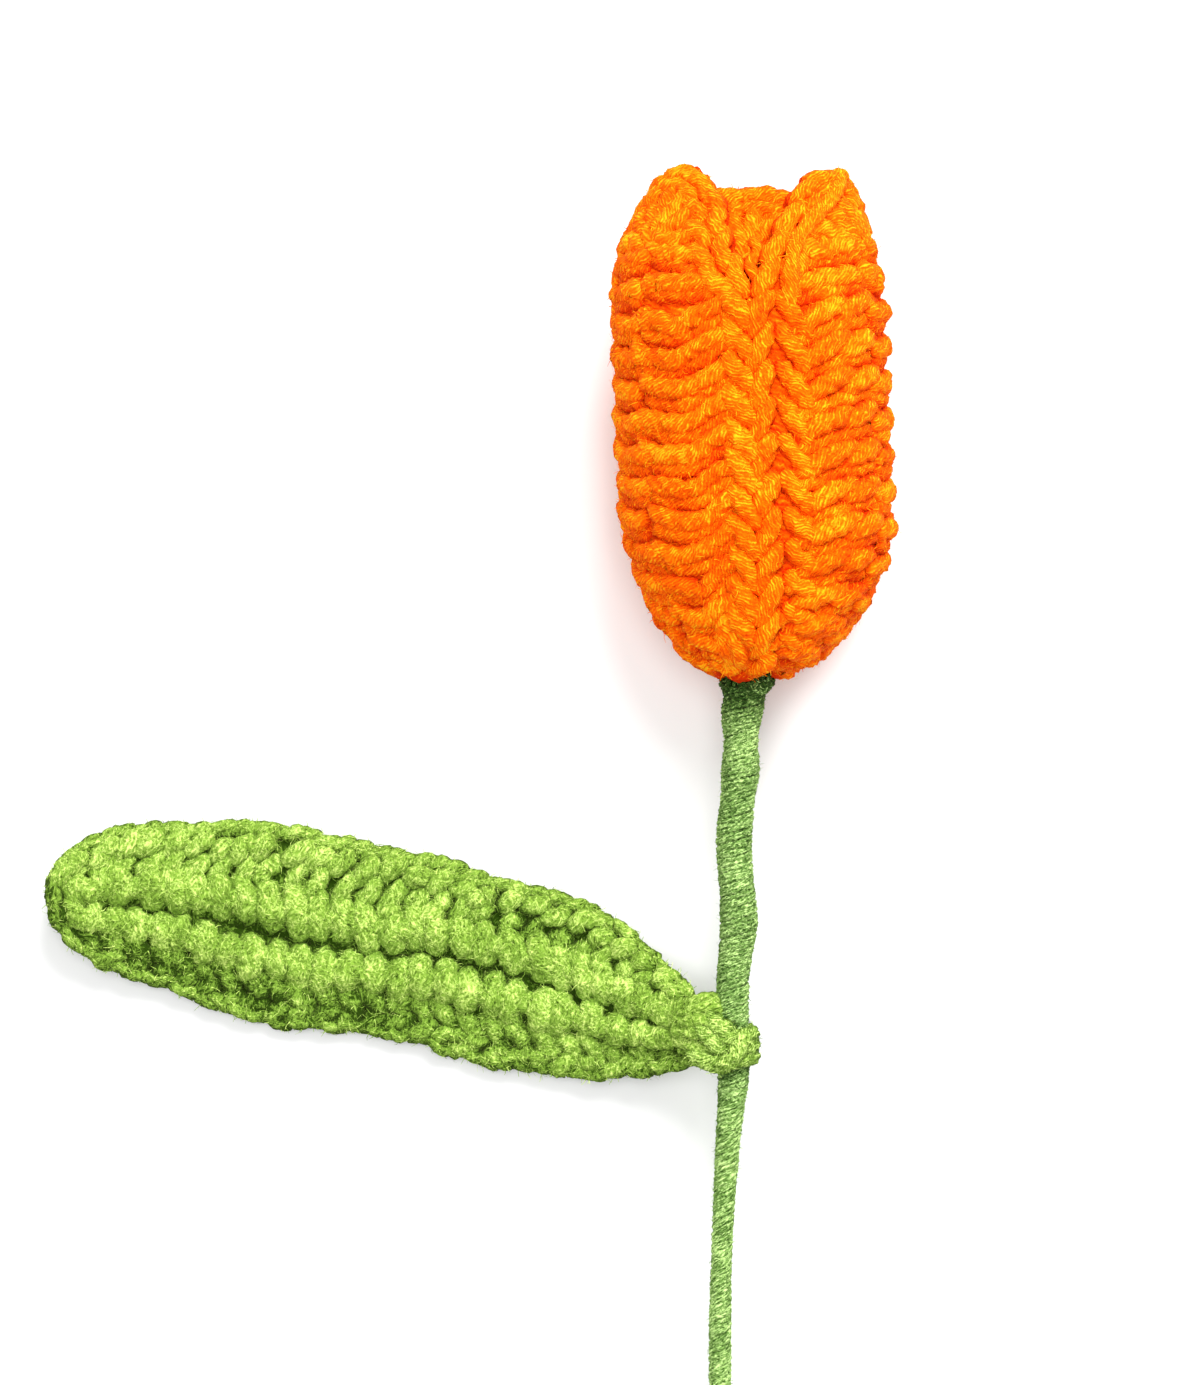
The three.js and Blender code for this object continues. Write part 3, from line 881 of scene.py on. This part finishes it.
def crochet_petal(name, turn, height, opening, pitch, waves, tip_shift, tip_breadth, lower_tip,
                  long_edge=None):
    """Works one petal and makes its mesh. pitch is the braid's usual length of a stitch."""
    height = height - lower_tip
    petal, yarn = Petal(turn, height, opening, tip_shift, tip_breadth), Yarn()
    braid = Braid(petal)
    count = int(round(braid.length / pitch))
    pitch = braid.length / count
    for k in range(count):
        start = (k + 0.1) * pitch
        middle = braid.at(start + pitch / 2, 0, 0)
        side, sign = ("right", 1) if middle[0] > 0 else ("left", -1)
        tip = smooth_step(middle[1], SHOULDER - 3, SHOULDER + 5)
        small = min(1.0, (petal.edge(middle[1]) + 1) / 11)
        style = {key: SIDES[side][key] * (1 - tip) + SIDES["tip"][key] * tip
                 for key in SIDES[side]}
        inner, under_braid = style["inner"] * small, UNDER_BRAID
        if waves[side] == "rising":
            inner *= chance.uniform(0.8, 1.1)
            under_braid = chance.uniform(0.2, 0.65)
        lay_loop(yarn, petal, braid, start, pitch, style, small, tip, inner)

        aside = -style["inset"] * small - inner * under_braid
        end = braid.at(start + pitch / 2, aside, 0)
        highest = height - FAN_BELOW_TIP + 1.5 * (1 - abs(middle[0]) / 15)
        base_height = np.clip(middle[1], LOWEST_POST, highest)
        base = np.array([style["start"] + chance.normal(0, 0.6), base_height, 0])
        lay_post(yarn, petal, base, end, sign, waves[side], tip)

    if long_edge:
        lay(yarn, petal, long_edge, LONG_STRAND, wobble=0.03)
    h = np.linspace(EDGE_START, height - 4.5, LAYER_ROWS)
    s = (petal.edge(h) - 1.3)[:, None] * np.linspace(-1, 1, LAYER_COLUMNS)[None, :]
    heights = np.repeat(h[:, None], LAYER_COLUMNS, axis=1)
    back_with_layer(yarn, petal, s, heights, (0.5, -0.5), depth=1.0)
    add_fuzz(yarn, 6500, 0.9)
    make_piece(yarn, name + "_crocheted", name, petal_yarn)


# %% The three petals
LONG_EDGE = ((1.2, 59.8, 0.2), (-0.5, 59.0, 1.4), (-3.6, 56.8, 1.9), (-6.8, 54.0, 2.05),
             (-9.0, 51.0, 2.05), (-9.9, 47.8, 1.9), (-10.3, 45.2, 1.3), (-10.5, 43.4, 0.2))
PETAL_WORK = {
    "petal_left": dict(pitch=3.85, waves=dict(left="rising", right="deep"), tip_shift=0.7,
                       tip_breadth=0.72, lower_tip=1.4),
    "petal_right": dict(pitch=4.3, waves=dict(left="falling", right="rising"), tip_shift=1.5,
                        tip_breadth=1.45, lower_tip=1.1, long_edge=LONG_EDGE),
    "petal_back": dict(pitch=4.1, waves=dict(left="falling", right="rising"), tip_shift=0,
                       tip_breadth=1.2, lower_tip=1.0),
}
for petal_name, measures in PETALS.items():
    crochet_petal(petal_name, **measures, **PETAL_WORK[petal_name])

# %% [markdown]
# The petals are sewn together edge to edge with a thin length of the same yarn, whipped over and
# over through the loops. It lies deep in the groove between two petals, so a gently winding strand
# shows all that can be seen of it. The front seam goes on above the shoulder, where the petals
# part: there it comes up out of the groove, and its end shows between the two tips.

# %% The seams
SEAMS = {"seam_front": 0, "seam_left": -120, "seam_right": 120}
SEAM_START, SEAM_END, FRONT_SEAM_END = 4, 45.5, 52.5
WHIP_PITCH = 3.9
SEAM_STEP = 0.25
SEAM_RADIUS = 0.8


def sew_seam(name, turn):
    """Lays the seam that runs up the bloom at turn, in degrees, and makes its mesh."""
    yarn = Yarn()
    h = np.arange(SEAM_START, FRONT_SEAM_END if name == "seam_front" else SEAM_END, 0.3)
    phase = 2 * math.pi * (h - SEAM_START) / WHIP_PITCH
    open_end = smooth_step(h, SEAM_END - 1, SEAM_END + 3)
    sideways = (0.5 * np.cos(phase) + 0.35 * open_end) / smooth_value(BLOOM_PROFILE, h)
    outwards = -0.45 + 0.35 * np.sin(phase) + 0.8 * open_end
    middle = bloom_point(math.radians(turn) + sideways, h)
    out = middle - axis_at(h)
    out /= np.linalg.norm(out, axis=1, keepdims=True)
    line = smooth_path(middle + out * outwards[:, None], SEAM_STEP)
    # Its fixed depth sets how much painted shade it gets.
    yarn.strand(even_steps(line, SEAM_STEP), SEAM_RADIUS, depth=0.8)
    make_piece(yarn, name + "_whipped", name, petal_yarn)


for seam_name, seam_turn in SEAMS.items():
    sew_seam(seam_name, seam_turn)

# %% [markdown]
# The leaf is worked like a petal, but in shorter stitches: three rounds about a foundation chain,
# which shows as the groove along its middle. The first round makes a soft ridge on each side of
# the groove, the second a row of slanting drops, and the third the bumps along the edge.

# %% The leaf's outline
# Stations along the leaf: x, the y of its middle, half its width, and the height of its middle.
LEAF_STATIONS = np.array([
    (-6, -43.4, 3.4, 8.8), (-8, -42.3, 5.2, 7.8), (-12.8, -40.6, 8.2, 5.6), (-17.7, -39, 10.2, 4),
    (-22.6, -37.9, 11.2, 3), (-32.5, -36, 12.1, 2.3), (-42.3, -32.9, 11.9, 2.09),
    (-52.2, -31.2, 12.3, 2.09), (-62, -29.7, 12.4, 2.15), (-71.9, -27.7, 10.5, 2.7),
    (-79.1, -27.2, 8.9, 4), (-83.8, -26.8, 5.8, 5.7), (-86, -26.3, 2.4, 6.8),
])[::-1]
LEAF_START, LEAF_END = -6, -86
LEAF_CUPPING = 0.8
# Pairs of x and y along the groove, which ends a little before the leaf's tip.
GROOVE = np.array([
    (-84.2, -28.0), (-74.7, -28.3), (-68.4, -29.7), (-59.5, -31.6), (-54.4, -32.8), (-48.7, -33.9),
    (-45.4, -34.2), (-39.3, -34.5), (-33.1, -35.7), (-27.0, -36.9), (-20.9, -39.4), (-16.3, -41.2),
    (-8.6, -43.0), (-5, -43.8),
])
GROOVE_END = -82.5
# Pairs of x and how far the outermost stitches' line lies inside the leaf's outline there.
UPPER_INSET = np.array([
    (-86, 0.95), (-66, 1.15), (-61, 0.6), (-55, 0.5), (-49, 0.95), (-42, 0.7), (-14, 0.7), (-6, 1.0),
])
LOWER_INSET = np.array([(-86, 0.95), (-78, 0.95), (-71, 0.5), (-54, 0.5), (-44, 0.65), (-6, 0.65)])


# %% Places on the leaf
class Leaf:
    """Places on the leaf: f is 0 at the groove and 1 at the edge, a runs round the edge in mm, from
    the root along the upper half to the tip and back along the lower half, and w is out."""

    def __init__(self):
        x = np.linspace(LEAF_START, LEAF_END, 161)
        middle, half = self.station(x, 1), self.station(x, 2)
        upper = np.stack([x, middle + half - smooth_value(UPPER_INSET, x)], 1)
        lower = np.stack([x, middle - half + smooth_value(LOWER_INSET, x)], 1)
        tip = np.array([[LEAF_END - 0.6, self.station(LEAF_END, 1)]])
        outline = np.vstack([upper, tip, lower[::-1]])
        for _ in range(8):
            outline[1:-1] = (outline[:-2] + 2 * outline[1:-1] + outline[2:]) / 4
        self.outline = even_steps(outline, 0.5)
        self.step = np.linalg.norm(self.outline[1] - self.outline[0])
        self.length = self.step * (len(self.outline) - 1)

    @staticmethod
    def station(x, column):
        """The value of one column of the stations at x."""
        return smooth_value(LEAF_STATIONS[:, [0, column]], x)

    def flat(self, a, f):
        """The place (x, y) of a point, seen from above."""
        index = np.clip(np.asarray(a, float) / self.step, 0, len(self.outline) - 1)
        edge = np.stack([np.interp(index, np.arange(len(self.outline)), self.outline[:, k])
                         for k in (0, 1)], axis=-1)
        x = np.maximum(edge[..., 0], GROOVE_END)
        groove = np.stack([x, smooth_value(GROOVE, x)], axis=-1)
        return groove + (edge - groove) * np.asarray(f, float)[..., None]

    def surface(self, flat):
        """Points of the fabric's middle above places (x, y). Its sides hang down a little."""
        x, y = flat[..., 0], flat[..., 1]
        across = (y - self.station(x, 1)) / self.station(x, 2)
        beyond = np.minimum(x - LEAF_END, 0)
        z = self.station(x, 3) - LEAF_CUPPING * np.clip(across, -1.1, 1.1) ** 2 - 0.4 * beyond
        return np.stack([x, y, z], axis=-1)

    def place(self, points):
        """Points (a, f, w) of the leaf as points in space."""
        a, f, w = np.asarray(points, float).T
        flat = self.flat(a, f)
        point = self.surface(flat)
        slope_x = self.surface(flat + (0.1, 0))[..., 2] - self.surface(flat - (0.1, 0))[..., 2]
        slope_y = self.surface(flat + (0, 0.1))[..., 2] - self.surface(flat - (0, 0.1))[..., 2]
        out = np.stack([-slope_x / 0.2, -slope_y / 0.2, np.ones_like(slope_x)], axis=-1)
        out /= np.linalg.norm(out, axis=-1, keepdims=True)
        return point + out * w[:, None]


# %% [markdown]
# A leaf's stitch is three strands in a row from the groove to the edge, and small stitches close
# the edge. Their points are millimetres along the edge, a share of the leaf's width and a
# height. On the lower half the outer rows are pressed flatter, and painted shade darkens them
# towards the tip. On the upper half painted shade darkens them towards the root. So the painted
# shade changes along the leaf.

# %% One strand on the leaf
LEAF_WOBBLE = 0.18


def lay_on_leaf(yarn, leaf, path, radius, width, step=RING_STEP, swell=0.0, lowest=-1.0,
                **settings):
    """Lays a strand on the leaf through (a, f, w) points. Its painted shade takes it as lying at
    lowest where it lies deeper, so that the painted shade doesn't turn its ends dark."""
    points = np.array(path, float)
    points += chance.normal(0, 1, 3) * (0.2, 0.25 / width, 0.15)
    points += chance.normal(0, 1, points.shape) * (LEAF_WOBBLE, LEAF_WOBBLE / width, 0.1)
    middle = leaf.place(points)
    raised = leaf.place(points + (0, 0, OUT_STEP))
    line = smooth_path(np.hstack([middle, raised, points]), step)
    middle, raised, points = line[:, :3], line[:, 3:6], line[:, 6:]
    radius = radius * (1 + swell * np.sin(math.pi * np.linspace(0, 1, len(middle))))
    yarn.strand(middle, radius, depth=np.maximum(points[:, 2], lowest),
                out=(raised - middle) / OUT_STEP, rough=0.07, **settings)


# %% The rows of a leaf's stitch
LEAF_STITCH = 3.05
# For each half: a row's radius, how much its lumps swell, how much painted shade darkens it, its points.
LEAF_ROWS = {
    "upper": (
        (1.62, 0.08, 0.0, ((0.5, 0.09, -1.0), (0.3, 0.15, 0.1), (0.1, 0.25, 0.8),
                           (-0.1, 0.35, 0.7), (-0.3, 0.42, 0.2), (-0.4, 0.46, -0.5))),
        (1.12, 0.12, 0.05, ((-1.3, 0.43, -0.4), (-0.7, 0.49, 0.2), (0.2, 0.57, 0.5),
                            (0.9, 0.65, 0.35), (1.3, 0.69, -0.4))),
        (1.12, 0.2, -0.1, ((-1.4, 0.69, -0.5), (-0.8, 0.74, 0.5), (0.1, 0.8, 0.9),
                           (0.9, 0.85, 0.55), (1.2, 0.87, -0.4))),
    ),
    "lower": (
        (1.62, 0.08, 0.15, ((0.2, 0.09, -0.9), (0.1, 0.15, 0.2), (0.0, 0.25, 0.85),
                            (-0.1, 0.35, 0.65), (-0.2, 0.43, 0.0), (-0.2, 0.47, -0.6))),
        (1.3, 0.12, 0.7, ((1.4, 0.74, -0.9), (0.8, 0.69, -0.2), (0.0, 0.6, 0.05),
                          (-0.9, 0.52, -0.15), (-1.3, 0.48, -0.8))),
        (1.15, 0.15, 0.65, ((1.8, 0.74, -0.8), (1.1, 0.79, -0.1), (0.1, 0.85, 0.15),
                            (-1.0, 0.91, 0.0), (-1.5, 0.92, -0.7))),
    ),
}
EDGE_STITCH = ((-1.5, 0.9, -0.2), (-0.8, 0.94, 0.35), (0.3, 0.97, 0.4), (1.3, 0.985, 0.1),
               (1.9, 0.98, -0.5))
EDGE_RADIUS = 0.78
print("rows on each half of the leaf:", {half: len(rows) for half, rows in LEAF_ROWS.items()})

# %% The stitches of the leaf
# More painted shade for the two outer rows at SHADE_PLACES along x, and the least height that a row's
# painted shade reads.
SHADE_PLACES = (-45, -25)
SHADE = {"upper": (0.0, 0.6), "lower": (0.28, -0.4)}
LOWEST = {"upper": 0.15, "lower": 0.3}
NO_LIMIT = -1.0
EDGE_PAINTED_SHADE = {"upper": 0.0, "lower": 0.55}
UNDERSIDE = 0.5
FULL_WIDTH = 8.5


def leaf_stitch(yarn, leaf, a, pitch):
    """One stitch at a, on the leaf's face and then on its underside, which is pressed flatter."""
    width = np.linalg.norm(leaf.flat(a, 1.0) - leaf.flat(a, 0.0))
    small = min(1.0, width / FULL_WIDTH) ** 0.65
    half, turn = ("upper", -1) if a < leaf.length / 2 else ("lower", 1)
    for face in (1, -1):
        coarse = dict(step=0.48, ply_points=3) if face > 0 else dict(step=1.1, ply_points=2)
        lean, size = chance.normal(0, 0.25), small * chance.uniform(0.94, 1.06)
        # Painted shade for the outer rows, by their place along the leaf.
        shade = np.interp(leaf.flat(a, 0.7)[0], SHADE_PLACES, SHADE[half])
        for row, (radius, swell, sunk, points) in enumerate(LEAF_ROWS[half]):
            path = [(a + turn * (along + lean * f), f, w if face > 0 else -UNDERSIDE * w)
                    for along, f, w in points]
            lay_on_leaf(yarn, leaf, path, radius * size, width, swell=swell,
                        sunk=sunk + shade * (row > 0),
                        lowest=LOWEST[half] if row > 0 else NO_LIMIT, **coarse)
        for shift in (0, pitch / 2) if face > 0 else (0,):
            path = [(a + shift + turn * along, f - 0.03 * (face < 0), face * w)
                    for along, f, w in EDGE_STITCH]
            # Painted shade for the edge stitches of the lower half.
            lay_on_leaf(yarn, leaf, path, EDGE_RADIUS, width, swell=0.1, step=0.7, ply_points=2,
                        sunk=EDGE_PAINTED_SHADE[half], lowest=LOWEST[half])


# %% [markdown]
# Three more things hold the leaf's stitches together: a strand along the rim, a thick core under
# each ridge, so that its lumps stay joined, and short strands from the root to the stem.

# %% What holds the leaf together
RIM_RADIUS, RIM_PLACE = 0.7, 0.97
CORE_RADIUS, CORE_PLACE, CORE_HEIGHT = 1.6, 0.26, 0.55
BRIDGE_RADIUS = 0.9


def lay_rim(yarn, leaf):
    """The strand along the edge, with more painted shade on the lower half."""
    a = np.arange(0, leaf.length, 1.5)
    f = RIM_PLACE + chance.normal(0, 0.01, len(a))
    rim = leaf.place(np.stack([a, f, chance.normal(0, 0.1, len(a))], 1))
    depths = 0.5 - 0.7 * smooth_step(a, leaf.length / 2 - 4, leaf.length / 2 + 8)
    rim = smooth_path(np.hstack([rim, depths[:, None]]), 0.6)
    yarn.strand(rim[:, :3], RIM_RADIUS, depth=rim[:, 3], rough=0.13)


def lay_core(yarn, leaf, first, last, sunk):
    """The core under one ridge, from first to last along the edge."""
    a = np.arange(first, last, 1.2)
    f = CORE_PLACE + chance.normal(0, 0.01, len(a))
    core = leaf.place(np.stack([a, f, CORE_HEIGHT + chance.normal(0, 0.1, len(a))], 1))
    yarn.strand(smooth_path(core, 0.6), CORE_RADIUS, depth=CORE_HEIGHT, rough=0.1, sunk=sunk)


def lay_bridge(yarn, y, z):
    """A short strand from the leaf's root to the stem."""
    path = [(-9.6, y * 0.6 - 17, z - 1.4), (-7.4, y * 0.8 - 8.5, z + 0.4), (-5.6, y, z + 0.9),
            (-3.2, y - 0.2, z + 0.1)]
    # Its fixed depth sets how much painted shade it gets.
    yarn.strand(smooth_path(path, 0.4), BRIDGE_RADIUS, depth=0.75, rough=0.12)


# %% The whole leaf
# Where a strand of the root meets the stem, and how high.
BRIDGES = ((-39.1, 9.4), (-40.1, 9.9), (-41.6, 10.3), (-43.2, 10.1), (-45.0, 9.3))
LEAF_LAYER_ROWS, LEAF_LAYER_COLUMNS = 80, 6


def crochet_leaf():
    """Works the leaf and makes its mesh."""
    leaf, yarn = Leaf(), Yarn()
    count = int(round(leaf.length / LEAF_STITCH))
    pitch = leaf.length / count
    for k in range(count):
        leaf_stitch(yarn, leaf, (k + 0.5) * pitch + chance.normal(0, 0.2), pitch)
    lay_rim(yarn, leaf)
    # Both cores get a little painted shade.
    lay_core(yarn, leaf, 2, leaf.length / 2 - 3, sunk=0.2)
    lay_core(yarn, leaf, leaf.length / 2 + 3, leaf.length - 2, sunk=0.25)
    for y, z in BRIDGES:
        lay_bridge(yarn, y, z)
    a, f = np.meshgrid(np.linspace(0, leaf.length, LEAF_LAYER_ROWS),
                       np.linspace(0, 0.9, LEAF_LAYER_COLUMNS), indexing="ij")
    # The layer's low depth paints dark shade into the groove and the gaps between the stitches.
    back_with_layer(yarn, leaf, a, f, (-0.2, 0.2), depth=0.15)
    add_fuzz(yarn, 12000, 0.9, upper_share=0.8)
    make_piece(yarn, "leaf_crocheted", "leaf", leaf_yarn)


crochet_leaf()

# %% [markdown]
# The stem is a wire wound with thin yarn, turn against turn. One strand would have hundreds of
# turns. Six strands side by side look the same, and each has a slightly different colour. The
# winding is thick above the leaf and thin below it, and a little lumpy, so its radius is a table.
# Painted shade darkens it where it enters the bloom and just below the tie.

# %% How thick the winding is, and where painted shade darkens it
# Pairs of a place along the stem and the winding's radius there.
UPPER_WRAP = np.array([
    (-44.4, 1.95), (-42.1, 2.0), (-37, 2.1), (-33, 2.2), (-30, 2.4), (-25, 2.25), (-18.5, 2.3),
    (-14.8, 2.2), (-11.2, 2.45), (-7.5, 2.2), (-3.9, 2.7), (-2, 2.7), (-0.7, 3.45), (0.7, 3.3),
    (1.3, 2.2), (10, 1.9),
])
LOWER_WRAP = np.array([
    (-165.5, 1.36), (-120, 1.36), (-79, 1.45), (-72, 1.36), (-64, 1.42), (-57, 1.6),
    (-51.5, 1.8), (-49.7, 1.95), (-46, 2.1),
])


def winding_painted_shade_depth(y):
    """The height that sets the winding's painted shade: 1.6 in the open, and less in the two places of
    painted shadow.
    """
    # Painted shadow where the stem enters the bloom, and just below the tie.
    mouth = 1.55 * smooth_step(y, -6.5, -1.2)
    below_tie = 1.1 * smooth_step(y, -52, -47.5) * (y < -45)
    return 1.6 - mouth - below_tie


# %% The wound stem
WOUND_STRAND = 0.42
WOUND_PITCH = 0.5
WOUND_TOGETHER = 6
# Loose fibres for each mm of stem.
WOUND_FUZZ = 40


def wind(name, node, wrap):
    """Winds the stem over the length of the table wrap and makes the mesh."""
    yarn = Yarn()
    first, last = wrap[0, 0], wrap[-1, 0]
    lead = WOUND_PITCH * WOUND_TOGETHER
    turns = (last - first) / lead
    for k in range(WOUND_TOGETHER):
        angle = np.arange(0, turns * 2 * math.pi, 0.35) + chance.uniform(0, 0.3)
        knots = np.arange(-1, angle[-1] + 3, 2.5)
        drift = np.interp(angle, knots, chance.normal(0, 0.12, len(knots)))
        y = first + WOUND_PITCH * k + lead * angle / (2 * math.pi) + drift
        y = np.clip(y, first + 0.3, last - 0.3)
        reach = smooth_value(wrap, y) - WOUND_STRAND + chance.normal(0, 0.03, len(y))
        line = axis_at(y)
        line[:, 0] += reach * np.sin(angle)
        line[:, 2] += reach * np.cos(angle)
        yarn.strand(line, WOUND_STRAND, plies=2, ply_points=3, groove=0.15, twist=3, taper=0.3,
                    tone=chance.uniform(0.3, 0.7), depth=winding_painted_shade_depth(y))
    core_y = np.linspace(first + 0.2, last - 0.2, 80)
    core_radius = np.maximum(smooth_value(wrap, core_y) - 0.5, 0.8)
    yarn.strand(axis_at(core_y), core_radius, plies=4, ply_points=3, twist=0, groove=0, tone=0.1,
                taper=0.1)
    add_fuzz(yarn, int(WOUND_FUZZ * (last - first)), 0.7, skip=-1)
    make_piece(yarn, name, node, stem_yarn)


wind("upper_winding", "stem_wrap_upper", UPPER_WRAP)
wind("lower_winding", "stem_wrap_lower", LOWER_WRAP)

# %% [markdown]
# A few loops of yellow-green yarn tie the leaf's root to the stem: three turns round the stem, and
# three thick loops over the root, the longest of which crosses the stem. Each loop is one strand through
# a handful of points, placed one by one, because no rule would describe a hand-tied knot.

# %% The tie
TIE_TOP = axis_at(-44.5)[2] + 2.0
# Each loop's radius and points.
TIE_LOOPS = (
    (1.15, ((-7.0, -44.6, 8.6), (-6.5, -45.8, 10.2), (-5.1, -46.7, TIE_TOP - 0.4),
            (-3.5, -46.9, TIE_TOP + 0.5), (-2.2, -46.2, TIE_TOP + 1.0), (-1.5, -45, TIE_TOP + 1.0),
            (-1.1, -43.9, TIE_TOP + 0.5), (-0.7, -43.4, TIE_TOP - 0.8))),
    (1.05, ((-6.0, -40.8, 9.4), (-5.0, -41.4, 10.9), (-4.0, -42.1, TIE_TOP + 0.4),
            (-3.1, -43.0, TIE_TOP + 0.2), (-2.9, -43.9, TIE_TOP - 0.8))),
    (1.1, ((-7.2, -42.4, 9.4), (-6.0, -42.9, 11.0), (-4.9, -43.7, TIE_TOP + 0.1),
           (-4.1, -44.7, TIE_TOP), (-3.6, -45.5, TIE_TOP - 0.8))),
)
TURNS, TURN_REACH, TURN_RADIUS = 3, 2.3, 1.0
TURNS_FROM, TURNS_TO = -46.6, -42.3
TIE_POINTS = 80


def tie_leaf():
    """Lays the turns and the loops of the tie and makes its mesh."""
    yarn = Yarn()
    angle = np.linspace(-0.5, TURNS * 2 * math.pi, TIE_POINTS)
    line = axis_at(np.linspace(TURNS_FROM, TURNS_TO, TIE_POINTS))
    line[:, 0] += TURN_REACH * np.sin(angle)
    line[:, 2] += TURN_REACH * np.cos(angle)
    # The fixed depths set how much painted shade the turns and loops get.
    yarn.strand(smooth_path(line, 0.35), TURN_RADIUS, rough=0.08, depth=0.7)
    for radius, points in TIE_LOOPS:
        yarn.strand(smooth_path(points, 0.3), radius, rough=0.08, depth=0.65)
    add_fuzz(yarn, 900, 0.9, skip=-1)
    make_piece(yarn, "leaf_tie_loops", "leaf_tie", tie_yarn)


tie_leaf()

# %% [markdown]
# Only the cut end of the wire shows, below the winding. The CAD model's own cylinder has the right
# shape, so it keeps its mesh and gets a finish: drawn steel, with fine lines along its length and
# faint stains that are rougher than the rest.

# %% The wire
n = Nodes("wire_steel")
where = n.add("ShaderNodeTexCoord").outputs["Object"]
drawn = n.noise(n.vectors("MULTIPLY", where, (1.0, 0.05, 1.0)), 9000, 3)
stain = n.noise(where, 900, 3)
tint = n.add("ShaderNodeValToRGB", {0: n.maths("MULTIPLY_ADD", stain, 0.6,
                                               n.maths("MULTIPLY", drawn, 0.4))})
tint.color_ramp.elements[0].color = (0.16, 0.155, 0.14, 1)
tint.color_ramp.elements[1].color = (0.6, 0.6, 0.58, 1)
relief = n.add("ShaderNodeBump", {"Height": drawn, "Distance": 0.00002})
steel_surface = n.add("ShaderNodeBsdfPrincipled", {
    "Base Color": tint.outputs[0], "Metallic": 1.0, "Normal": relief.outputs[0],
    "Roughness": n.maths("MULTIPLY_ADD", stain, 0.35, 0.2)})
n.add("ShaderNodeOutputMaterial", {0: steel_surface.outputs[0]})
wire_object.data.materials.clear()
wire_object.data.materials.append(n.material)
print("the wire's finish:", n.material.name)

# %% [markdown]
# The flower lies on a pale, matt floor, large enough to fill the picture from every side. It catches
# the soft shadow that shows how high the leaf and the bloom stand.

# %% The floor
# Half the floor's side in metres.
FLOOR_HALF = 3
FLOOR_COLOUR = (0.86, 0.86, 0.86, 1)
FLOOR_ROUGHNESS = 0.9

floor_mesh = bpy.data.meshes.new("floor")
corners = [(FLOOR_HALF * x, FLOOR_HALF * y, 0) for x, y in ((-1, -1), (1, -1), (1, 1), (-1, 1))]
floor_mesh.from_pydata(corners, [], [(0, 1, 2, 3)])
floor = bpy.data.objects.new("floor", floor_mesh)
bpy.context.scene.collection.objects.link(floor)
floor_finish = bpy.data.materials.new("pale_floor")
floor_finish.use_nodes = True
floor_inputs = floor_finish.node_tree.nodes["Principled BSDF"].inputs
floor_inputs["Base Color"].default_value = FLOOR_COLOUR
floor_inputs["Roughness"].default_value = FLOOR_ROUGHNESS
floor_mesh.materials.append(floor_finish)

# %% [markdown]
# Yarn looks best in soft light from one side, because small shadows in the grooves bring out the
# stitches. A white world fills the shadows, a large lamp stands beyond the bloom's tips, and a
# second one above the flower evens out the front. A larger lamp softens a shadow's edge. The
# Standard view shows the colours as they were measured, where the usual one would mute the orange.

# %% The light
WHITE = (1, 1, 1, 1)
FILL_STRENGTH = 0.6
# Each lamp's place in metres, its size in metres and its power in watts.
LAMPS = {
    "key": dict(place=(0.35, 0.85, 0.8), size=0.75, power=17),
    "front": dict(place=(-0.1, 0.05, 1.3), size=0.9, power=10),
}

world = bpy.data.worlds.new("studio")
bpy.context.scene.world = world
world.use_nodes = True
world.node_tree.nodes["Background"].inputs[0].default_value = WHITE
world.node_tree.nodes["Background"].inputs[1].default_value = FILL_STRENGTH


def soft_light(name, place, size, power):
    """A round lamp at place that shines on the frame's zero."""
    data = bpy.data.lights.new(name, "AREA")
    data.shape, data.size, data.energy = "DISK", size, power
    lamp = bpy.data.objects.new(name, data)
    bpy.context.scene.collection.objects.link(lamp)
    lamp.location = place
    lamp.rotation_mode = "QUATERNION"
    lamp.rotation_quaternion = (-Vector(place)).to_track_quat("-Z", "Y")


for lamp_name, measures in LAMPS.items():
    soft_light(lamp_name, **measures)
bpy.context.scene.view_settings.view_transform = "Standard"
print("lamps:", list(LAMPS))
